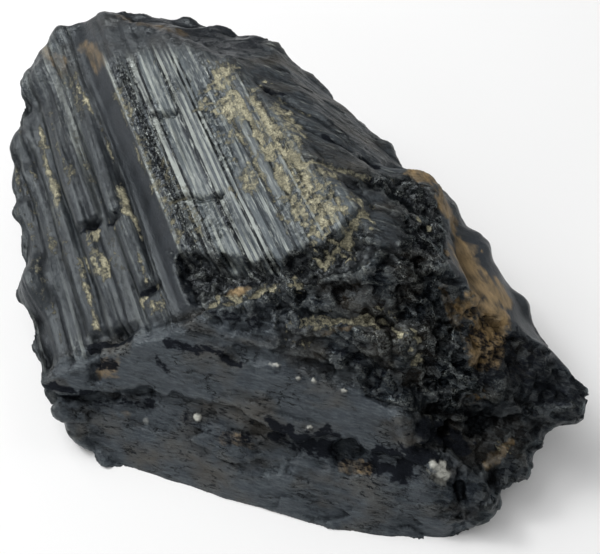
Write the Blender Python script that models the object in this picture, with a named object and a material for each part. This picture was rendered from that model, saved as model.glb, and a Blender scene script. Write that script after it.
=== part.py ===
"""Raw black tourmaline (schorl): one broken piece of a single crystal, lying on its flat side.

The crystal's long axis runs along Y, so its growth ridges do too. Two grown faces slope down to -X,
a broken face falls away to the front, and the hidden sides are broken or grown faces as well.
Lengths in the tables are millimetres; the finished mesh is in metres and stands on Z = 0, with its
origin under the middle of its box.
"""

import math

import bmesh
import bpy
import numpy as np

MM = 0.001
NAME = "tourmaline_crystal"

# Driving sizes: the working skin's grid, the triangles kept, how deep the bed is cut off below the
# middle of the box, and how far the finished stone is moved to bring its box over the origin.
SKIN_GRID = 0.45
TRIANGLES = 9200
BED_DEPTH = 0.4
ORIGIN_SHIFT = (-0.09, 0.10)

# The whole skin waves a little: how wide each wave is, how high.
WAVES = ((6.0, 0.18), (2.5, 0.08))

# Every flat face: its name, the way it looks (degrees from +X towards +Y), how far that way points
# up (degrees), and its distance from the centre of the bed.
FACES = (
    ("bed", 0.0, -90.0, BED_DEPTH),
    ("front", -127.5, 36.5, 22.7),
    ("toe", -112.0, 36.0, 27.5),
    ("toe_right", -89.0, 41.0, 31.0),
    ("toe_end", -63.0, -5.0, 40.1),
    ("plateau", 180.0, 66.0, 17.6),
    ("left_slope", 180.0, 63.0, 18.0),
    ("left_side", 168.5, -22.0, 21.5),
    ("left_foot", 178.5, -24.0, 21.2),
    ("left_corner", -172.0, -12.0, 24.7),
    ("crest_right", 18.0, 74.0, 23.1),
    ("crest_front", -95.0, 44.0, 29.3),
    ("flank", -2.5, 44.5, 26.2),
    ("flank_foot", 2.5, -26.0, 18.6),
    ("shoulder", 10.0, 51.0, 23.8),
    ("back_bevel", 59.5, 69.5, 25.1),
    ("back", 53.0, -20.0, 18.8),
    ("back_right", 14.5, -16.0, 13.4),
    ("back_side", 30.5, -14.0, 15.3),
    ("back_corner", 57.0, -24.0, 19.3),
    ("back_left", 141.5, -22.0, 28.4),
    ("back_foot", 155.5, -20.0, 25.2),
    ("under_left", 172.0, -58.0, 10.4),
    ("under_back_left", 140.0, -52.0, 16.7),
    ("under_back", 50.0, -55.0, 8.4),
    ("tip_edge", 80.0, 36.0, 37.4),
)

# Growth ridges run along Y on these faces: name, ridge spacing, ridge height.
RIDGED = (
    ("plateau", 1.3, 0.26),
    ("left_slope", 2.3, 0.20),
    ("left_side", 2.2, 0.45),
    ("left_foot", 2.2, 0.45),
    ("left_corner", 2.0, 0.40),
    ("flank_foot", 2.4, 0.40),
    ("back_foot", 2.2, 0.40),
)

# Broken faces: name, how wide their scoops are, how deep.
BROKEN = (
    ("crest_front", 4.2, 0.45),
    ("toe_right", 5.0, 0.70),
    ("toe_end", 5.5, 0.80),
    ("back_bevel", 6.0, 0.50),
    ("back", 8.0, 0.90),
    ("back_right", 8.0, 0.90),
    ("back_side", 8.0, 0.80),
    ("back_corner", 7.0, 0.80),
    ("back_left", 7.0, 0.80),
    ("under_left", 8.0, 0.60),
    ("under_back_left", 8.0, 0.60),
    ("under_back", 8.0, 0.60),
    ("front", 9.0, 0.30),
    ("toe", 8.0, 0.40),
)

# The long grooves of the left slope, at these X: place, half width, depth.
GROOVES = (
    (-22.4, 0.4, 0.25),
    (-20.5, 0.5, 0.30),
    (-18.2, 0.5, 0.35),
    (-16.0, 0.4, 0.25),
    (-14.0, 0.4, 0.20),
    (-11.2, 0.4, 0.25),
)

# The faces on the -X side are knobbly along their length too: how far apart the knobs are, height.
KNOBBLY = ("left_side", "left_foot", "left_corner", "back_foot", "back_left")
KNOB_SIZE, KNOB_HEIGHT = 2.7, 0.75

# A smooth strip climbs from the left slope to the plateau between these two X.
STRIP_LEFT, STRIP_RIGHT, STRIP_RISE = -10.5, -8.1, 1.0
PLATEAU_LIP = 0.45

# Ridges of the left slope that stop short: from X, to X, where they end in Y, height.
SHORT_RIDGES = (
    (-17.9, -14.9, 5.2, 0.7),
    (-13.8, -12.0, 3.2, 0.6),
    (-13.6, -11.6, -7.6, 0.6),
)

# The plateau breaks off along this line (X, Y), which wanders by up to RAGGED_END. The crumbled floor
# in front of it lies lower, rises again over this reach, and fades in and out between these X.
PLATEAU_END = (
    (-8.4, -6.0), (-5.6, -9.0), (-3.2, -11.6), (-1.2, -13.1), (0.4, -14.6),
    (2.6, -14.2), (5.2, -15.2), (7.8, -15.2), (10.5, -13.0),
)
PLATEAU_DROP, DROP_REACH, RAGGED_END = 2.1, 6.5, 0.8
FLOOR_LEFT, FLOOR_RIGHT = (-9.4, -8.2), (6.0, 12.0)

# Flat chips of the crumbled ground: how wide, how high on the front and on the floor.
CHIP_SIZE, HACKLE_CHIPS, FLOOR_CHIPS = 2.3, 0.5, 0.6

# The crack that runs in from the left corner, in plan.
LONG_CRACK = ((-27.5, -10.2), (-25.2, -11.7), (-22.0, -13.7), (-19.0, -15.3), (-15.4, -16.9))

# Open cracks: points in plan, half width, depth.
CRACKS = (
    (LONG_CRACK, 0.50, 1.2),
    (((-6.6, -0.2), (-5.1, -0.8), (-3.9, -2.4), (-1.8, -3.4)), 0.45, 0.8),
    (((-5.0, 13.0), (-2.6, 11.0)), 0.5, 0.8),
    (((11.4, -35.6), (10.8, -37.6)), 0.45, 1.1),
)

# Ledges of the front and of the crest: the stone drops on the right of each line and rises again
# over a short reach. The lines, how deep the drop is, its reach.
LEDGES = (
    (LONG_CRACK, 0.5, 2.2),
    (((-15.5, -17.0), (-12.6, -18.4), (-10.3, -19.8), (-7.3, -22.1), (-4.6, -25.2)), 1.0, 4.2),
    (((-4.8, -25.0), (-2.9, -27.0), (0.6, -28.6), (4.2, -31.5), (7.6, -33.8)), 1.1, 3.2),
    (((-6.2, -18.3), (-4.6, -19.1), (-2.3, -20.6), (0.4, -22.9), (3.2, -25.0)), 0.7, 1.7),
    (((-9.0, -15.4), (-6.8, -17.0), (-5.6, -18.1)), 0.4, 1.2),
    (((-2.5, -16.5), (-1.2, -18.1), (2.2, -20.6), (6.4, -22.6), (8.6, -24.5)), 0.9, 1.6),
    (((-0.5, -20.6), (2.0, -22.1), (4.7, -24.5), (7.4, -27.0)), 0.6, 1.5),
    (((8.9, -32.8), (12.1, -32.9), (15.3, -33.2), (22.2, -33.6)), 0.8, 2.2),
    (((5.6, -1.6), (7.6, -5.0), (10.7, -6.3), (13.5, -9.0), (15.2, -11.6)), 0.55, 1.8),
    (((7.6, 9.2), (9.6, 6.2), (11.9, 2.8), (13.4, -1.2), (15.2, -4.2)), 0.5, 1.8),
    (((8.8, 2.2), (10.4, -0.6), (12.8, -3.6), (14.6, -6.2)), 0.4, 1.2),
    (((8.4, -7.0), (10.2, -9.6), (11.9, -13.0), (13.6, -15.4)), 0.4, 1.4),
)

# Pits: centre in plan, half length, half width, turn of the length from +X (degrees), depth.
PITS = (
    ((1.4, -30.6), 2.4, 1.2, -42.0, 1.5),
    ((-17.6, -10.4), 2.8, 1.2, -25.0, 1.3),
    ((-20.0, -11.4), 2.4, 1.0, 80.0, 0.8),
    ((-16.1, 4.6), 1.2, 0.6, 0.0, 0.5),
    ((-13.3, 3.0), 0.7, 0.5, 0.0, 0.4),
    ((-12.3, -8.2), 1.2, 0.6, 0.0, 0.5),
    ((10.6, -32.2), 3.0, 1.5, -25.0, 1.2),
    ((15.4, -33.2), 2.2, 1.2, -15.0, 1.0),
    ((15.0, -17.6), 1.3, 0.9, 60.0, 1.3),
    ((12.6, -20.8), 1.2, 0.9, 20.0, 1.2),
    ((-5.6, -11.4), 2.4, 1.2, -50.0, 0.9),
    ((7.9, 8.2), 1.6, 0.5, -30.0, 0.6),
    ((12.4, -2.8), 1.9, 0.8, -45.0, 1.0),
    ((14.2, -5.2), 1.3, 0.7, -45.0, 0.9),
)

# Lumps that stand proud: centre in plan, radius, height.
LUMPS = (
    ((11.4, -22.8), 1.1, 0.8),
    ((9.0, -26.0), 1.3, 0.9),
    ((17.8, -31.6), 2.6, 0.8),
    ((18.6, -35.6), 2.4, 0.9),
    ((13.0, -39.2), 2.6, 0.8),
    ((22.0, -30.0), 2.4, 0.8),
    ((-8.0, -34.0), 3.0, 0.3),
    ((16.6, -12.0), 2.0, 0.7),
    ((16.2, -17.2), 1.8, 0.7),
    ((14.4, -23.6), 1.6, 0.7),
    ((14.8, -26.6), 1.6, 0.6),
    ((21.4, -14.0), 4.5, 1.1),
    ((23.0, -22.0), 4.0, 0.5),
    ((-12.4, 38.6), 2.2, 0.8),
    ((4.4, 30.4), 3.0, 0.6),
)

# Broad bulges and hollows of the whole stone: centre, radius, height.
BULGES = (
    ((-8.0, 38.0, 16.0), 7.0, -0.5),
    ((-14.6, 40.4, 12.0), 3.4, -1.2),
    ((-3.6, 32.4, 17.9), 3.0, -0.4),
    ((3.6, 28.4, 17.4), 3.0, -0.4),
    ((9.3, 23.8, 17.4), 3.0, -0.4),
    ((-16.8, 33.5, 11.0), 5.0, 1.3),
    ((-18.6, 29.0, 9.6), 2.6, -0.5),
    ((-21.0, 24.0, 8.5), 3.4, 0.9),
    ((-22.8, 17.9, 7.3), 3.4, 1.0),
    ((-24.2, 1.6, 7.0), 4.4, 1.7),
    ((-25.0, -4.8, 6.2), 3.0, -0.5),
    ((-23.4, -12.8, 6.4), 4.5, 0.6),
    ((-24.6, -14.5, 2.5), 4.0, 1.2),
    ((3.0, -38.5, 0.8), 6.0, -0.7),
    ((11.2, -40.0, 1.5), 2.0, 0.7),
    ((13.4, -40.6, 4.5), 3.2, -2.5),
    ((17.2, -37.8, 3.7), 2.4, 1.5),
    ((20.2, -37.5, 6.2), 3.0, -2.5),
    ((24.2, -35.2, 7.6), 3.6, 2.7),
    ((22.5, -17.8, 14.9), 4.5, 1.0),
    ((19.2, -9.4, 16.8), 5.6, 2.9),
    ((16.8, 4.9, 16.5), 4.4, 0.4),
)

# A scooped hollow runs down the flank under the rim of the rough crest: points, half width, depth.
SCOOP = (((17.6, -5.4), (20.0, -9.6), (20.4, -15.6), (19.0, -21.0), (18.4, -26.8)), 1.9, 1.1)

# The smooth band of the front ends upwards along this line; above it the stone is hackly and lower.
BAND_TOP = ((-21.0, -8.0), (-15.4, -11.5), (-9.3, -14.4), (-4.2, -19.1), (1.4, -24.9), (6.8, -30.0),
            (11.0, -34.4))
HACKLE_DROP = 0.55


def looking(azimuth, rise):
    """The unit vector that looks along these two angles in degrees."""
    turn, tip = math.radians(azimuth), math.radians(rise)
    return np.array([math.cos(turn) * math.cos(tip), math.sin(turn) * math.cos(tip), math.sin(tip)])


PLANES = {name: (looking(azimuth, rise), distance) for name, azimuth, rise, distance in FACES}


def ease(low, high, value):
    """0 below low, 1 above high, and a soft step between them."""
    part = np.clip((value - low) / (high - low), 0.0, 1.0)
    return part * part * (3.0 - 2.0 * part)


def on_face(points, name, reach=1.2):
    """1 on a face, fading to 0 at this depth under it."""
    normal, distance = PLANES[name]
    return 1.0 - ease(0.35 * reach, reach, distance - points @ normal)


def scatter(cells, seed):
    """A repeatable number from 0 to 1 for each whole-number cell."""
    mixed = np.sin(cells @ np.array([127.1, 311.7, 74.7][: cells.shape[1]]) + 17.3 * seed) * 43758.5453
    return mixed - np.floor(mixed)


def swell(points, size, seed):
    """Smooth hills and hollows from -1 to 1, this far apart."""
    place = points / size
    cell = np.floor(place)
    part = place - cell
    part = part * part * (3.0 - 2.0 * part)
    total = np.zeros(len(points))
    for corner in np.ndindex(*([2] * points.shape[1])):
        corner = np.array(corner)
        weight = np.prod(np.where(corner, part, 1.0 - part), axis=1)
        total += weight * scatter(cell + corner, seed)
    return 2.0 * total - 1.0


def neighbours(points, size, seed):
    """For each scattered centre near the points: the way to it, its own tilt and its own level."""
    place = points / size
    cell = np.floor(place)
    for step in np.ndindex(3, 3, 3):
        near = cell + np.array(step) - 1
        centre = near + np.stack([scatter(near, seed + axis) for axis in range(3)], axis=1)
        tilt = np.stack([scatter(near, seed + 5 + axis) - 0.5 for axis in range(3)], axis=1)
        yield place - centre, tilt, scatter(near, seed + 9) - 0.5


def scoops(points, size, seed):
    """Shallow shell-like hollows that meet in sharp ridges, as glassy stone breaks: about -1 to 1."""
    lowest = np.full(len(points), 1e9)
    for away, tilt, level in neighbours(points, size, seed):
        bowl = 0.9 * np.einsum("ij,ij->i", away, away) + 0.9 * np.einsum("ij,ij->i", away, tilt)
        lowest = np.minimum(lowest, bowl + 0.4 * level)
    return 2.2 * lowest - 0.3


def chips(points, size, seed):
    """Flat broken chips: each point takes the tilt and level of its nearest scattered centre."""
    nearest = np.full(len(points), 1e9)
    height = np.zeros(len(points))
    for away, tilt, level in neighbours(points, size, seed):
        distance = np.einsum("ij,ij->i", away, away)
        closer = distance < nearest
        nearest = np.where(closer, distance, nearest)
        height = np.where(closer, 1.6 * np.einsum("ij,ij->i", away, tilt) + 0.7 * level, height)
    return height


def tread(cell, along, seed):
    """The height of one tread, which rises and sinks slowly along the crystal."""
    stretch = along / 17.0 + 3.0 * scatter(cell[:, None], seed + 1)
    start = np.floor(stretch)
    first, second = (scatter(np.stack([cell, start + step], axis=1), seed + 2) for step in (0.0, 1.0))
    return 2.0 * (first + (second - first) * ease(0.0, 1.0, stretch - start)) - 1.0


def ridges(across, along, spacing, seed):
    """Growth ridges from -1 to 1: level treads with short steps that die out along the crystal."""
    place = across / spacing + 0.25 * swell(np.stack([along / 9.0, across / 20.0], axis=1), 1.0, seed)
    cell = np.floor(place)
    here, before = (tread(cell - back, along, seed) for back in (0.0, 1.0))
    return before + (here - before) * ease(0.0, 0.3, place - cell)


def along_path(points, path):
    """Distance in plan from a line of points, and which side: above 0 on the line's left."""
    plan = points[:, :2]
    nearest = np.full(len(points), 1e9)
    side = np.zeros(len(points))
    for start, end in zip(path[:-1], path[1:]):
        start, run = np.array(start), np.array(end) - np.array(start)
        part = np.clip((plan - start) @ run / (run @ run), 0.0, 1.0)
        away = plan - start - part[:, None] * run
        distance = np.hypot(away[:, 0], away[:, 1])
        closer = distance < nearest
        nearest = np.where(closer, distance, nearest)
        left = run[0] * (plan[:, 1] - start[1]) - run[1] * (plan[:, 0] - start[0])
        side = np.where(closer, np.sign(left), side)
    return nearest, side


def planed(points):
    """The left slope planed down from above, so the strip climbs from it and its edges stay sharp."""
    upper = [PLANES[name] for name in ("plateau", "left_slope")]
    depths = np.stack([distance - points @ normal for normal, distance in upper])
    ways = np.stack([normal for normal, _ in upper])[depths.argmin(axis=0)]
    level = STRIP_RISE * (1.0 - ease(STRIP_LEFT, STRIP_RIGHT, points[:, 0]))
    return points - ways * np.maximum(level - depths.min(axis=0), 0.0)[:, None]


def prism_faces(points):
    """The grown faces: ridges along Y, the strip, the grooves and the ridges that stop short."""
    x, y = points[:, 0], points[:, 1]
    move = np.zeros(len(points))
    strip = ease(STRIP_LEFT - 0.4, STRIP_LEFT, x) * (1.0 - ease(STRIP_RIGHT, STRIP_RIGHT + 0.3, x))
    for seed, (name, spacing, height) in enumerate(RIDGED):
        normal, _ = PLANES[name]
        across = x * normal[2] - points[:, 2] * normal[0]
        move += on_face(points, name) * (1.0 - strip) * height * ridges(across, y, spacing, 20 + seed)
    side = np.max([on_face(points, name, 2.4) for name in KNOBBLY], axis=0)
    move += side * KNOB_HEIGHT * swell(points, KNOB_SIZE, 31)
    top = np.maximum(on_face(points, "plateau"), on_face(points, "left_slope"))
    move += top * PLATEAU_LIP * ease(STRIP_RIGHT - 0.1, STRIP_RIGHT + 0.25, x)
    for place, half_width, depth in GROOVES:
        offset = x - place - 0.25 * swell(points[:, 1:2] / 7.0, 1.0, int(-place))
        move -= top * depth * (1.0 - ease(0.3 * half_width, half_width, np.abs(offset)))
    for seed, (left, right, end, height) in enumerate(SHORT_RIDGES):
        across = ease(left - 0.3, left + 0.3, x) * (1.0 - ease(right - 0.3, right + 0.3, x))
        ragged = end + 0.5 * swell(points[:, :1] / 0.8, 1.0, 60 + seed)
        lasting = 1.0 - ease(end + 10.0, end + 22.0, y)
        move += top * height * across * lasting * ease(ragged - 0.2, ragged + 0.35, y)
    return move


def broken_faces(points):
    """The fractures: chips on every broken face and the lower, hackly ground above the band."""
    move = np.zeros(len(points))
    for seed, (name, size, height) in enumerate(BROKEN):
        face = on_face(points, name)
        near = face > 0.0
        large = scoops(points[near], size, 100 + 20 * seed)
        small = scoops(points[near], 0.45 * size, 110 + 20 * seed)
        move[near] += face[near] * height * (large + 0.25 * small)
    falling = np.maximum(on_face(points, "front"), on_face(points, "crest_front"))
    reach, side = along_path(points, BAND_TOP)
    hackle = falling * ease(-0.3, 0.5, reach * side)
    move -= hackle * (HACKLE_DROP - HACKLE_CHIPS * chips(points, CHIP_SIZE, 500))
    return move


def plateau_end(points):
    """The drop at the front end of the plateau and the crumbled floor below it."""
    reach, side = along_path(points, PLATEAU_END)
    inwards = RAGGED_END * swell(points[:, :1] / 0.8, 1.0, 49) - reach * side
    bed = ease(0.0, 0.5, inwards) * (1.0 - ease(2.8, DROP_REACH, inwards))
    width = ease(*FLOOR_LEFT, points[:, 0]) * (1.0 - ease(*FLOOR_RIGHT, points[:, 0]))
    upper = ease(11.0, 13.0, points[:, 2])
    return -bed * width * upper * (PLATEAU_DROP + FLOOR_CHIPS * chips(points, CHIP_SIZE, 520))


def ledges(points):
    """The stepped, flaky front: sharp drops that rise gently again."""
    move = np.zeros(len(points))
    for path, depth, reach in LEDGES:
        away, side = along_path(points, path)
        below = 0.3 * swell(points, 1.3, 46) + 0.15 * swell(points, 0.5, 48) - away * side
        varied = 0.8 + 0.4 * swell(points, 3.0, 45)
        move -= depth * varied * ease(0.0, 0.4, below) * (1.0 - ease(0.3 * reach, reach, below))
    return move


def marks(points):
    """Cracks, pits, lumps and the scoop, each where the tables put it on the upper side."""
    move = ledges(points)
    for path, half_width, depth in CRACKS:
        reach, _ = along_path(points, path)
        ragged = reach + half_width * (0.5 * swell(points, 1.4, 41) + 0.3 * swell(points, 0.6, 42))
        move -= depth * (1.0 - ease(0.0, half_width, ragged))
    for centre, half_long, half_wide, turn, depth in PITS:
        angle = math.radians(turn)
        away = points[:, :2] - np.array(centre)
        lengthwise = (away[:, 0] * math.cos(angle) + away[:, 1] * math.sin(angle)) / half_long
        sideways = (away[:, 1] * math.cos(angle) - away[:, 0] * math.sin(angle)) / half_wide
        reach = np.hypot(lengthwise, sideways) + 0.45 * swell(points, 1.1, 43)
        inside = 1.0 - ease(0.2, 1.2, reach)
        move -= depth * inside * (1.0 + 0.5 * swell(points, 0.9, 44))
    for centre, radius, height in LUMPS:
        reach = np.hypot(points[:, 0] - centre[0], points[:, 1] - centre[1]) / radius
        move += height * (1.0 - ease(0.3, 1.1, reach + 0.2 * swell(points, 1.6, 47)))
    path, half_width, depth = SCOOP
    reach, _ = along_path(points, path)
    move -= depth * (1.0 - ease(0.1, 1.0, reach / half_width))
    return move * ease(0.3, 2.0, points[:, 2])


def bulges(points):
    """The broad swellings and hollows that keep the stone's faces and edges from being straight."""
    move = np.zeros(len(points))
    for centre, radius, height in BULGES:
        away = np.linalg.norm(points - np.array(centre), axis=1) / radius
        move += height * (1.0 - ease(0.1, 1.1, away))
    return move


def shaped(points, normals):
    """The skin's points moved in and out along their normals by all that the stone shows."""
    upwards = ease(-0.45, -0.1, normals[:, 2])
    move = prism_faces(points) + broken_faces(points) + plateau_end(points) + bulges(points)
    move += upwards * marks(points)
    for seed, (size, height) in enumerate(WAVES):
        move += height * swell(points, size, 11 + seed)
    move *= 1.0 - on_face(points, "bed", 0.3)
    return planed(points) + normals * move[:, None]


def cut_block():
    """A cube cut down by every face of the table, in mm."""
    block = bmesh.new()
    bmesh.ops.create_cube(block, size=200.0)
    for normal, distance in PLANES.values():
        whole = block.verts[:] + block.edges[:] + block.faces[:]
        cut = bmesh.ops.bisect_plane(
            block, geom=whole, dist=1e-4, plane_co=tuple(normal * distance), plane_no=tuple(normal),
            clear_outer=True,
        )
        rim = [piece for piece in cut["geom_cut"] if isinstance(piece, bmesh.types.BMEdge)]
        bmesh.ops.holes_fill(block, edges=rim)
    bmesh.ops.recalc_face_normals(block, faces=block.faces[:])
    mesh = bpy.data.meshes.new(NAME)
    block.to_mesh(mesh)
    block.free()
    return mesh


def with_modifier(stone, kind, **settings):
    """The object's mesh replaced by what one modifier makes of it."""
    modifier = stone.modifiers.new(kind.title(), kind)
    for setting, value in settings.items():
        setattr(modifier, setting, value)
    made = bpy.data.meshes.new_from_object(stone.evaluated_get(bpy.context.evaluated_depsgraph_get()))
    stone.modifiers.clear()
    stone.data = made


def sculpt(stone):
    """Moves the points of the fine skin into the stone's relief."""
    mesh = stone.data
    count = len(mesh.vertices)
    points, normals = np.empty(3 * count), np.empty(3 * count)
    mesh.vertices.foreach_get("co", points)
    mesh.vertices.foreach_get("normal", normals)
    points = shaped(points.reshape(-1, 3), normals.reshape(-1, 3))
    mesh.vertices.foreach_set("co", points.ravel())
    mesh.update()


def flatten_bed(stone):
    """Cuts the underside flat, moves the stone over the origin and turns millimetres into metres."""
    block = bmesh.new()
    block.from_mesh(stone.data)
    whole = block.verts[:] + block.edges[:] + block.faces[:]
    cut = bmesh.ops.bisect_plane(
        block, geom=whole, dist=1e-3, plane_co=(0, 0, 0), plane_no=(0, 0, -1), clear_outer=True
    )
    rim = [piece for piece in cut["geom_cut"] if isinstance(piece, bmesh.types.BMEdge)]
    bmesh.ops.holes_fill(block, edges=rim)
    bmesh.ops.triangulate(block, faces=block.faces[:])
    bmesh.ops.translate(block, verts=block.verts[:], vec=(*ORIGIN_SHIFT, 0.0))
    bmesh.ops.scale(block, verts=block.verts[:], vec=(MM, MM, MM))
    block.to_mesh(stone.data)
    block.free()


def black_stone():
    """Dark grey to black, half glossy."""
    material = bpy.data.materials.new("black_tourmaline")
    material.use_nodes = True
    shader = material.node_tree.nodes["Principled BSDF"]
    shader.inputs["Base Color"].default_value = (0.045, 0.048, 0.052, 1.0)
    shader.inputs["Roughness"].default_value = 0.45
    shader.inputs["Metallic"].default_value = 0.0
    return material


def main():
    for old in list(bpy.data.objects):
        bpy.data.objects.remove(old)
    stone = bpy.data.objects.new(NAME, cut_block())
    bpy.context.scene.collection.objects.link(stone)
    with_modifier(stone, "REMESH", mode="VOXEL", voxel_size=SKIN_GRID)
    sculpt(stone)
    with_modifier(stone, "TRIANGULATE")
    with_modifier(stone, "DECIMATE", ratio=TRIANGLES / len(stone.data.polygons))
    flatten_bed(stone)
    stone.data.materials.append(black_stone())


main()
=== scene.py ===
# %% [markdown]
# # A piece of raw black tourmaline
#
# The real object is one broken fragment of a schorl crystal. Two of its upper faces grew as part of
# a long prism and are covered with growth ridges, all parallel to the crystal's long axis, which lies
# along Y here. The other faces are breaks: smooth and shell-like in some places, hackly and
# glittering in others. Pale dust sits in the grooves and an iron stain colours a hollow on the right.
#
# The lesson builds the stone in the order nature did: first the flat faces, then the ridges, then the
# breaks, then the fine relief, and at last the dust and the stain.

# %% Load the frame
import functools
import math
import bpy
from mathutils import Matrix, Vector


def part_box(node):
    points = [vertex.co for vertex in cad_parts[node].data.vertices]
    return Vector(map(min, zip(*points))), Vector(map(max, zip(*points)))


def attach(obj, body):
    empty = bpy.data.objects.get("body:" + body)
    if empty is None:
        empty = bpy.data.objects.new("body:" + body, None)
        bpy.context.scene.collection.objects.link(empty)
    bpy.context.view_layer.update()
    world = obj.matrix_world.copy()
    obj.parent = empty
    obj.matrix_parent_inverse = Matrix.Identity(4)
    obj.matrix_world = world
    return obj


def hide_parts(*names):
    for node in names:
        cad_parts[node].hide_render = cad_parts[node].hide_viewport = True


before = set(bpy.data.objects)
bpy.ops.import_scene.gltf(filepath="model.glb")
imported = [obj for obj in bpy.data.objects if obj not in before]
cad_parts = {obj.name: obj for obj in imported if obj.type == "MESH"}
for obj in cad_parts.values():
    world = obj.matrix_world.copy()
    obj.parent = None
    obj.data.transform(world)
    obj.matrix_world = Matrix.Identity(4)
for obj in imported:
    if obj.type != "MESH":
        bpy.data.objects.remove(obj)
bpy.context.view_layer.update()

import types

import bmesh
import bpy
import numpy as np
from mathutils import Vector

NODE = "tourmaline_crystal"
MM = 0.001

# %% [markdown]
# ## The camera
#
# The stone is looked at from above and a little from the left, from close by, so its near end looks
# clearly larger than its far end. A camera is placed by the point it looks at, two angles and a
# distance; that is easier to adjust than a position and three rotations.

# %% Camera
TARGET_MM = Vector((3.4, -11.43, 12.0))
AZIMUTH, ELEVATION = math.radians(-21.5), math.radians(53.0)
DISTANCE_MM, LENS_MM, SENSOR_MM = 92.0, 51.0, 36.0

backwards = Vector((
    math.sin(AZIMUTH) * math.cos(ELEVATION),
    -math.cos(AZIMUTH) * math.cos(ELEVATION),
    math.sin(ELEVATION),
))
camera = bpy.data.objects.new("camera", bpy.data.cameras.new("camera"))
camera.location = (TARGET_MM + backwards * DISTANCE_MM) * MM
camera.rotation_euler = backwards.to_track_quat("Z", "Y").to_euler()
camera.data.lens, camera.data.sensor_width = LENS_MM, SENSOR_MM
camera.data.clip_start, camera.data.clip_end = 0.001, 10.0
bpy.context.scene.collection.objects.link(camera)
bpy.context.scene.camera = camera
print("camera at (m):", [round(value, 4) for value in camera.location])

# %% [markdown]
# ## The faces of the crystal
#
# Every face is a plane, and a plane needs only three numbers: the compass direction it faces, how
# far that direction points up, and its distance from the middle of the bed. Cutting a cube with one
# plane after another (`bisect_plane`) leaves the fragment's rough form with truly flat faces, which a
# sculpted ball would never have. The numbers are those of the solid model, so both agree.

# %% Faces, in degrees and millimetres
BED_DEPTH = 0.4
ORIGIN_SHIFT = (-0.09, 0.10)
FACES = (
    ("bed", 0.0, -90.0, BED_DEPTH),
    ("front", -127.5, 36.5, 22.7),
    ("toe", -112.0, 36.0, 27.5),
    ("toe_right", -89.0, 41.0, 31.0),
    ("toe_end", -63.0, -5.0, 40.1),
    ("plateau", 180.0, 66.0, 17.6),
    ("left_slope", 180.0, 63.0, 18.0),
    ("left_side", 168.5, -22.0, 21.5),
    ("left_foot", 178.5, -24.0, 21.2),
    ("left_corner", -172.0, -12.0, 24.7),
    ("crest_right", 18.0, 74.0, 23.1),
    ("crest_front", -95.0, 44.0, 29.3),
    ("flank", -2.5, 44.5, 26.2),
    ("flank_foot", 2.5, -26.0, 18.6),
    ("shoulder", 10.0, 51.0, 23.8),
    ("back_bevel", 59.5, 69.5, 25.1),
    ("back", 53.0, -20.0, 18.8),
    ("back_right", 14.5, -16.0, 13.4),
    ("back_side", 30.5, -14.0, 15.3),
    ("back_corner", 57.0, -24.0, 19.3),
    ("back_left", 141.5, -22.0, 28.4),
    ("back_foot", 155.5, -20.0, 25.2),
    ("under_left", 172.0, -58.0, 10.4),
    ("under_back_left", 140.0, -52.0, 16.7),
    ("under_back", 50.0, -55.0, 8.4),
    ("tip_edge", 80.0, 36.0, 37.4),
)


def looking(azimuth, rise):
    """The unit vector that looks along these two angles in degrees."""
    turn, tip = math.radians(azimuth), math.radians(rise)
    return np.array([math.cos(turn) * math.cos(tip), math.sin(turn) * math.cos(tip), math.sin(tip)])


PLANES = {name: (looking(azimuth, rise), distance) for name, azimuth, rise, distance in FACES}
print(len(PLANES), "flat faces")

# %% Cut the block
def cut_block():
    """A cube cut down by every face of the table, in mm."""
    block = bmesh.new()
    bmesh.ops.create_cube(block, size=200.0)
    for normal, distance in PLANES.values():
        whole = block.verts[:] + block.edges[:] + block.faces[:]
        cut = bmesh.ops.bisect_plane(
            block, geom=whole, dist=1e-4, plane_co=tuple(normal * distance), plane_no=tuple(normal),
            clear_outer=True,
        )
        rim = [piece for piece in cut["geom_cut"] if isinstance(piece, bmesh.types.BMEdge)]
        bmesh.ops.holes_fill(block, edges=rim)
    bmesh.ops.recalc_face_normals(block, faces=block.faces[:])
    mesh = bpy.data.meshes.new("tourmaline_stone")
    block.to_mesh(mesh)
    block.free()
    return mesh


stone = bpy.data.objects.new("tourmaline_stone", cut_block())
bpy.context.scene.collection.objects.link(stone)
print("rough form:", len(stone.data.polygons), "faces")

# %% [markdown]
# ## A skin to carve
#
# The rough form has only a few dozen polygons. A voxel Remesh covers it with an even net of small
# quads, and the relief is then carved by moving the points of that net along their normals. Even
# quads matter: a subdivided polygon would have long thin faces that tear when they are moved.

# %% Even skin
SKIN_GRID = 0.24


def with_modifier(item, kind, **settings):
    """The object's mesh replaced by what one modifier makes of it."""
    modifier = item.modifiers.new(kind.title(), kind)
    for setting, value in settings.items():
        setattr(modifier, setting, value)
    made = bpy.data.meshes.new_from_object(item.evaluated_get(bpy.context.evaluated_depsgraph_get()))
    item.modifiers.clear()
    item.data = made


def skin(item):
    """The points and normals of an object's mesh as arrays."""
    count = len(item.data.vertices)
    points, normals = np.empty(3 * count), np.empty(3 * count)
    item.data.vertices.foreach_get("co", points)
    item.data.vertices.foreach_get("normal", normals)
    return points.reshape(-1, 3), normals.reshape(-1, 3)


def put_back(item, points):
    item.data.vertices.foreach_set("co", points.ravel())
    item.data.update()


with_modifier(stone, "REMESH", mode="VOXEL", voxel_size=SKIN_GRID)
print("skin:", len(stone.data.vertices), "points")

# %% [markdown]
# ## Tools for relief
#
# All relief comes from a few small functions of place: a soft step, how near a point is to a face,
# how near it is to a line, smooth swells, shell-like scoops, flat chips and growth ridges. They use
# arrays of all points at once, because a loop over half a million points would take minutes. The
# scatter function gives each cell of space its own fixed number, so every run makes the same stone.

# %% Steps, faces and swells
def ease(low, high, value):
    """0 below low, 1 above high, and a soft step between them."""
    part = np.clip((value - low) / (high - low), 0.0, 1.0)
    return part * part * (3.0 - 2.0 * part)


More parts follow.
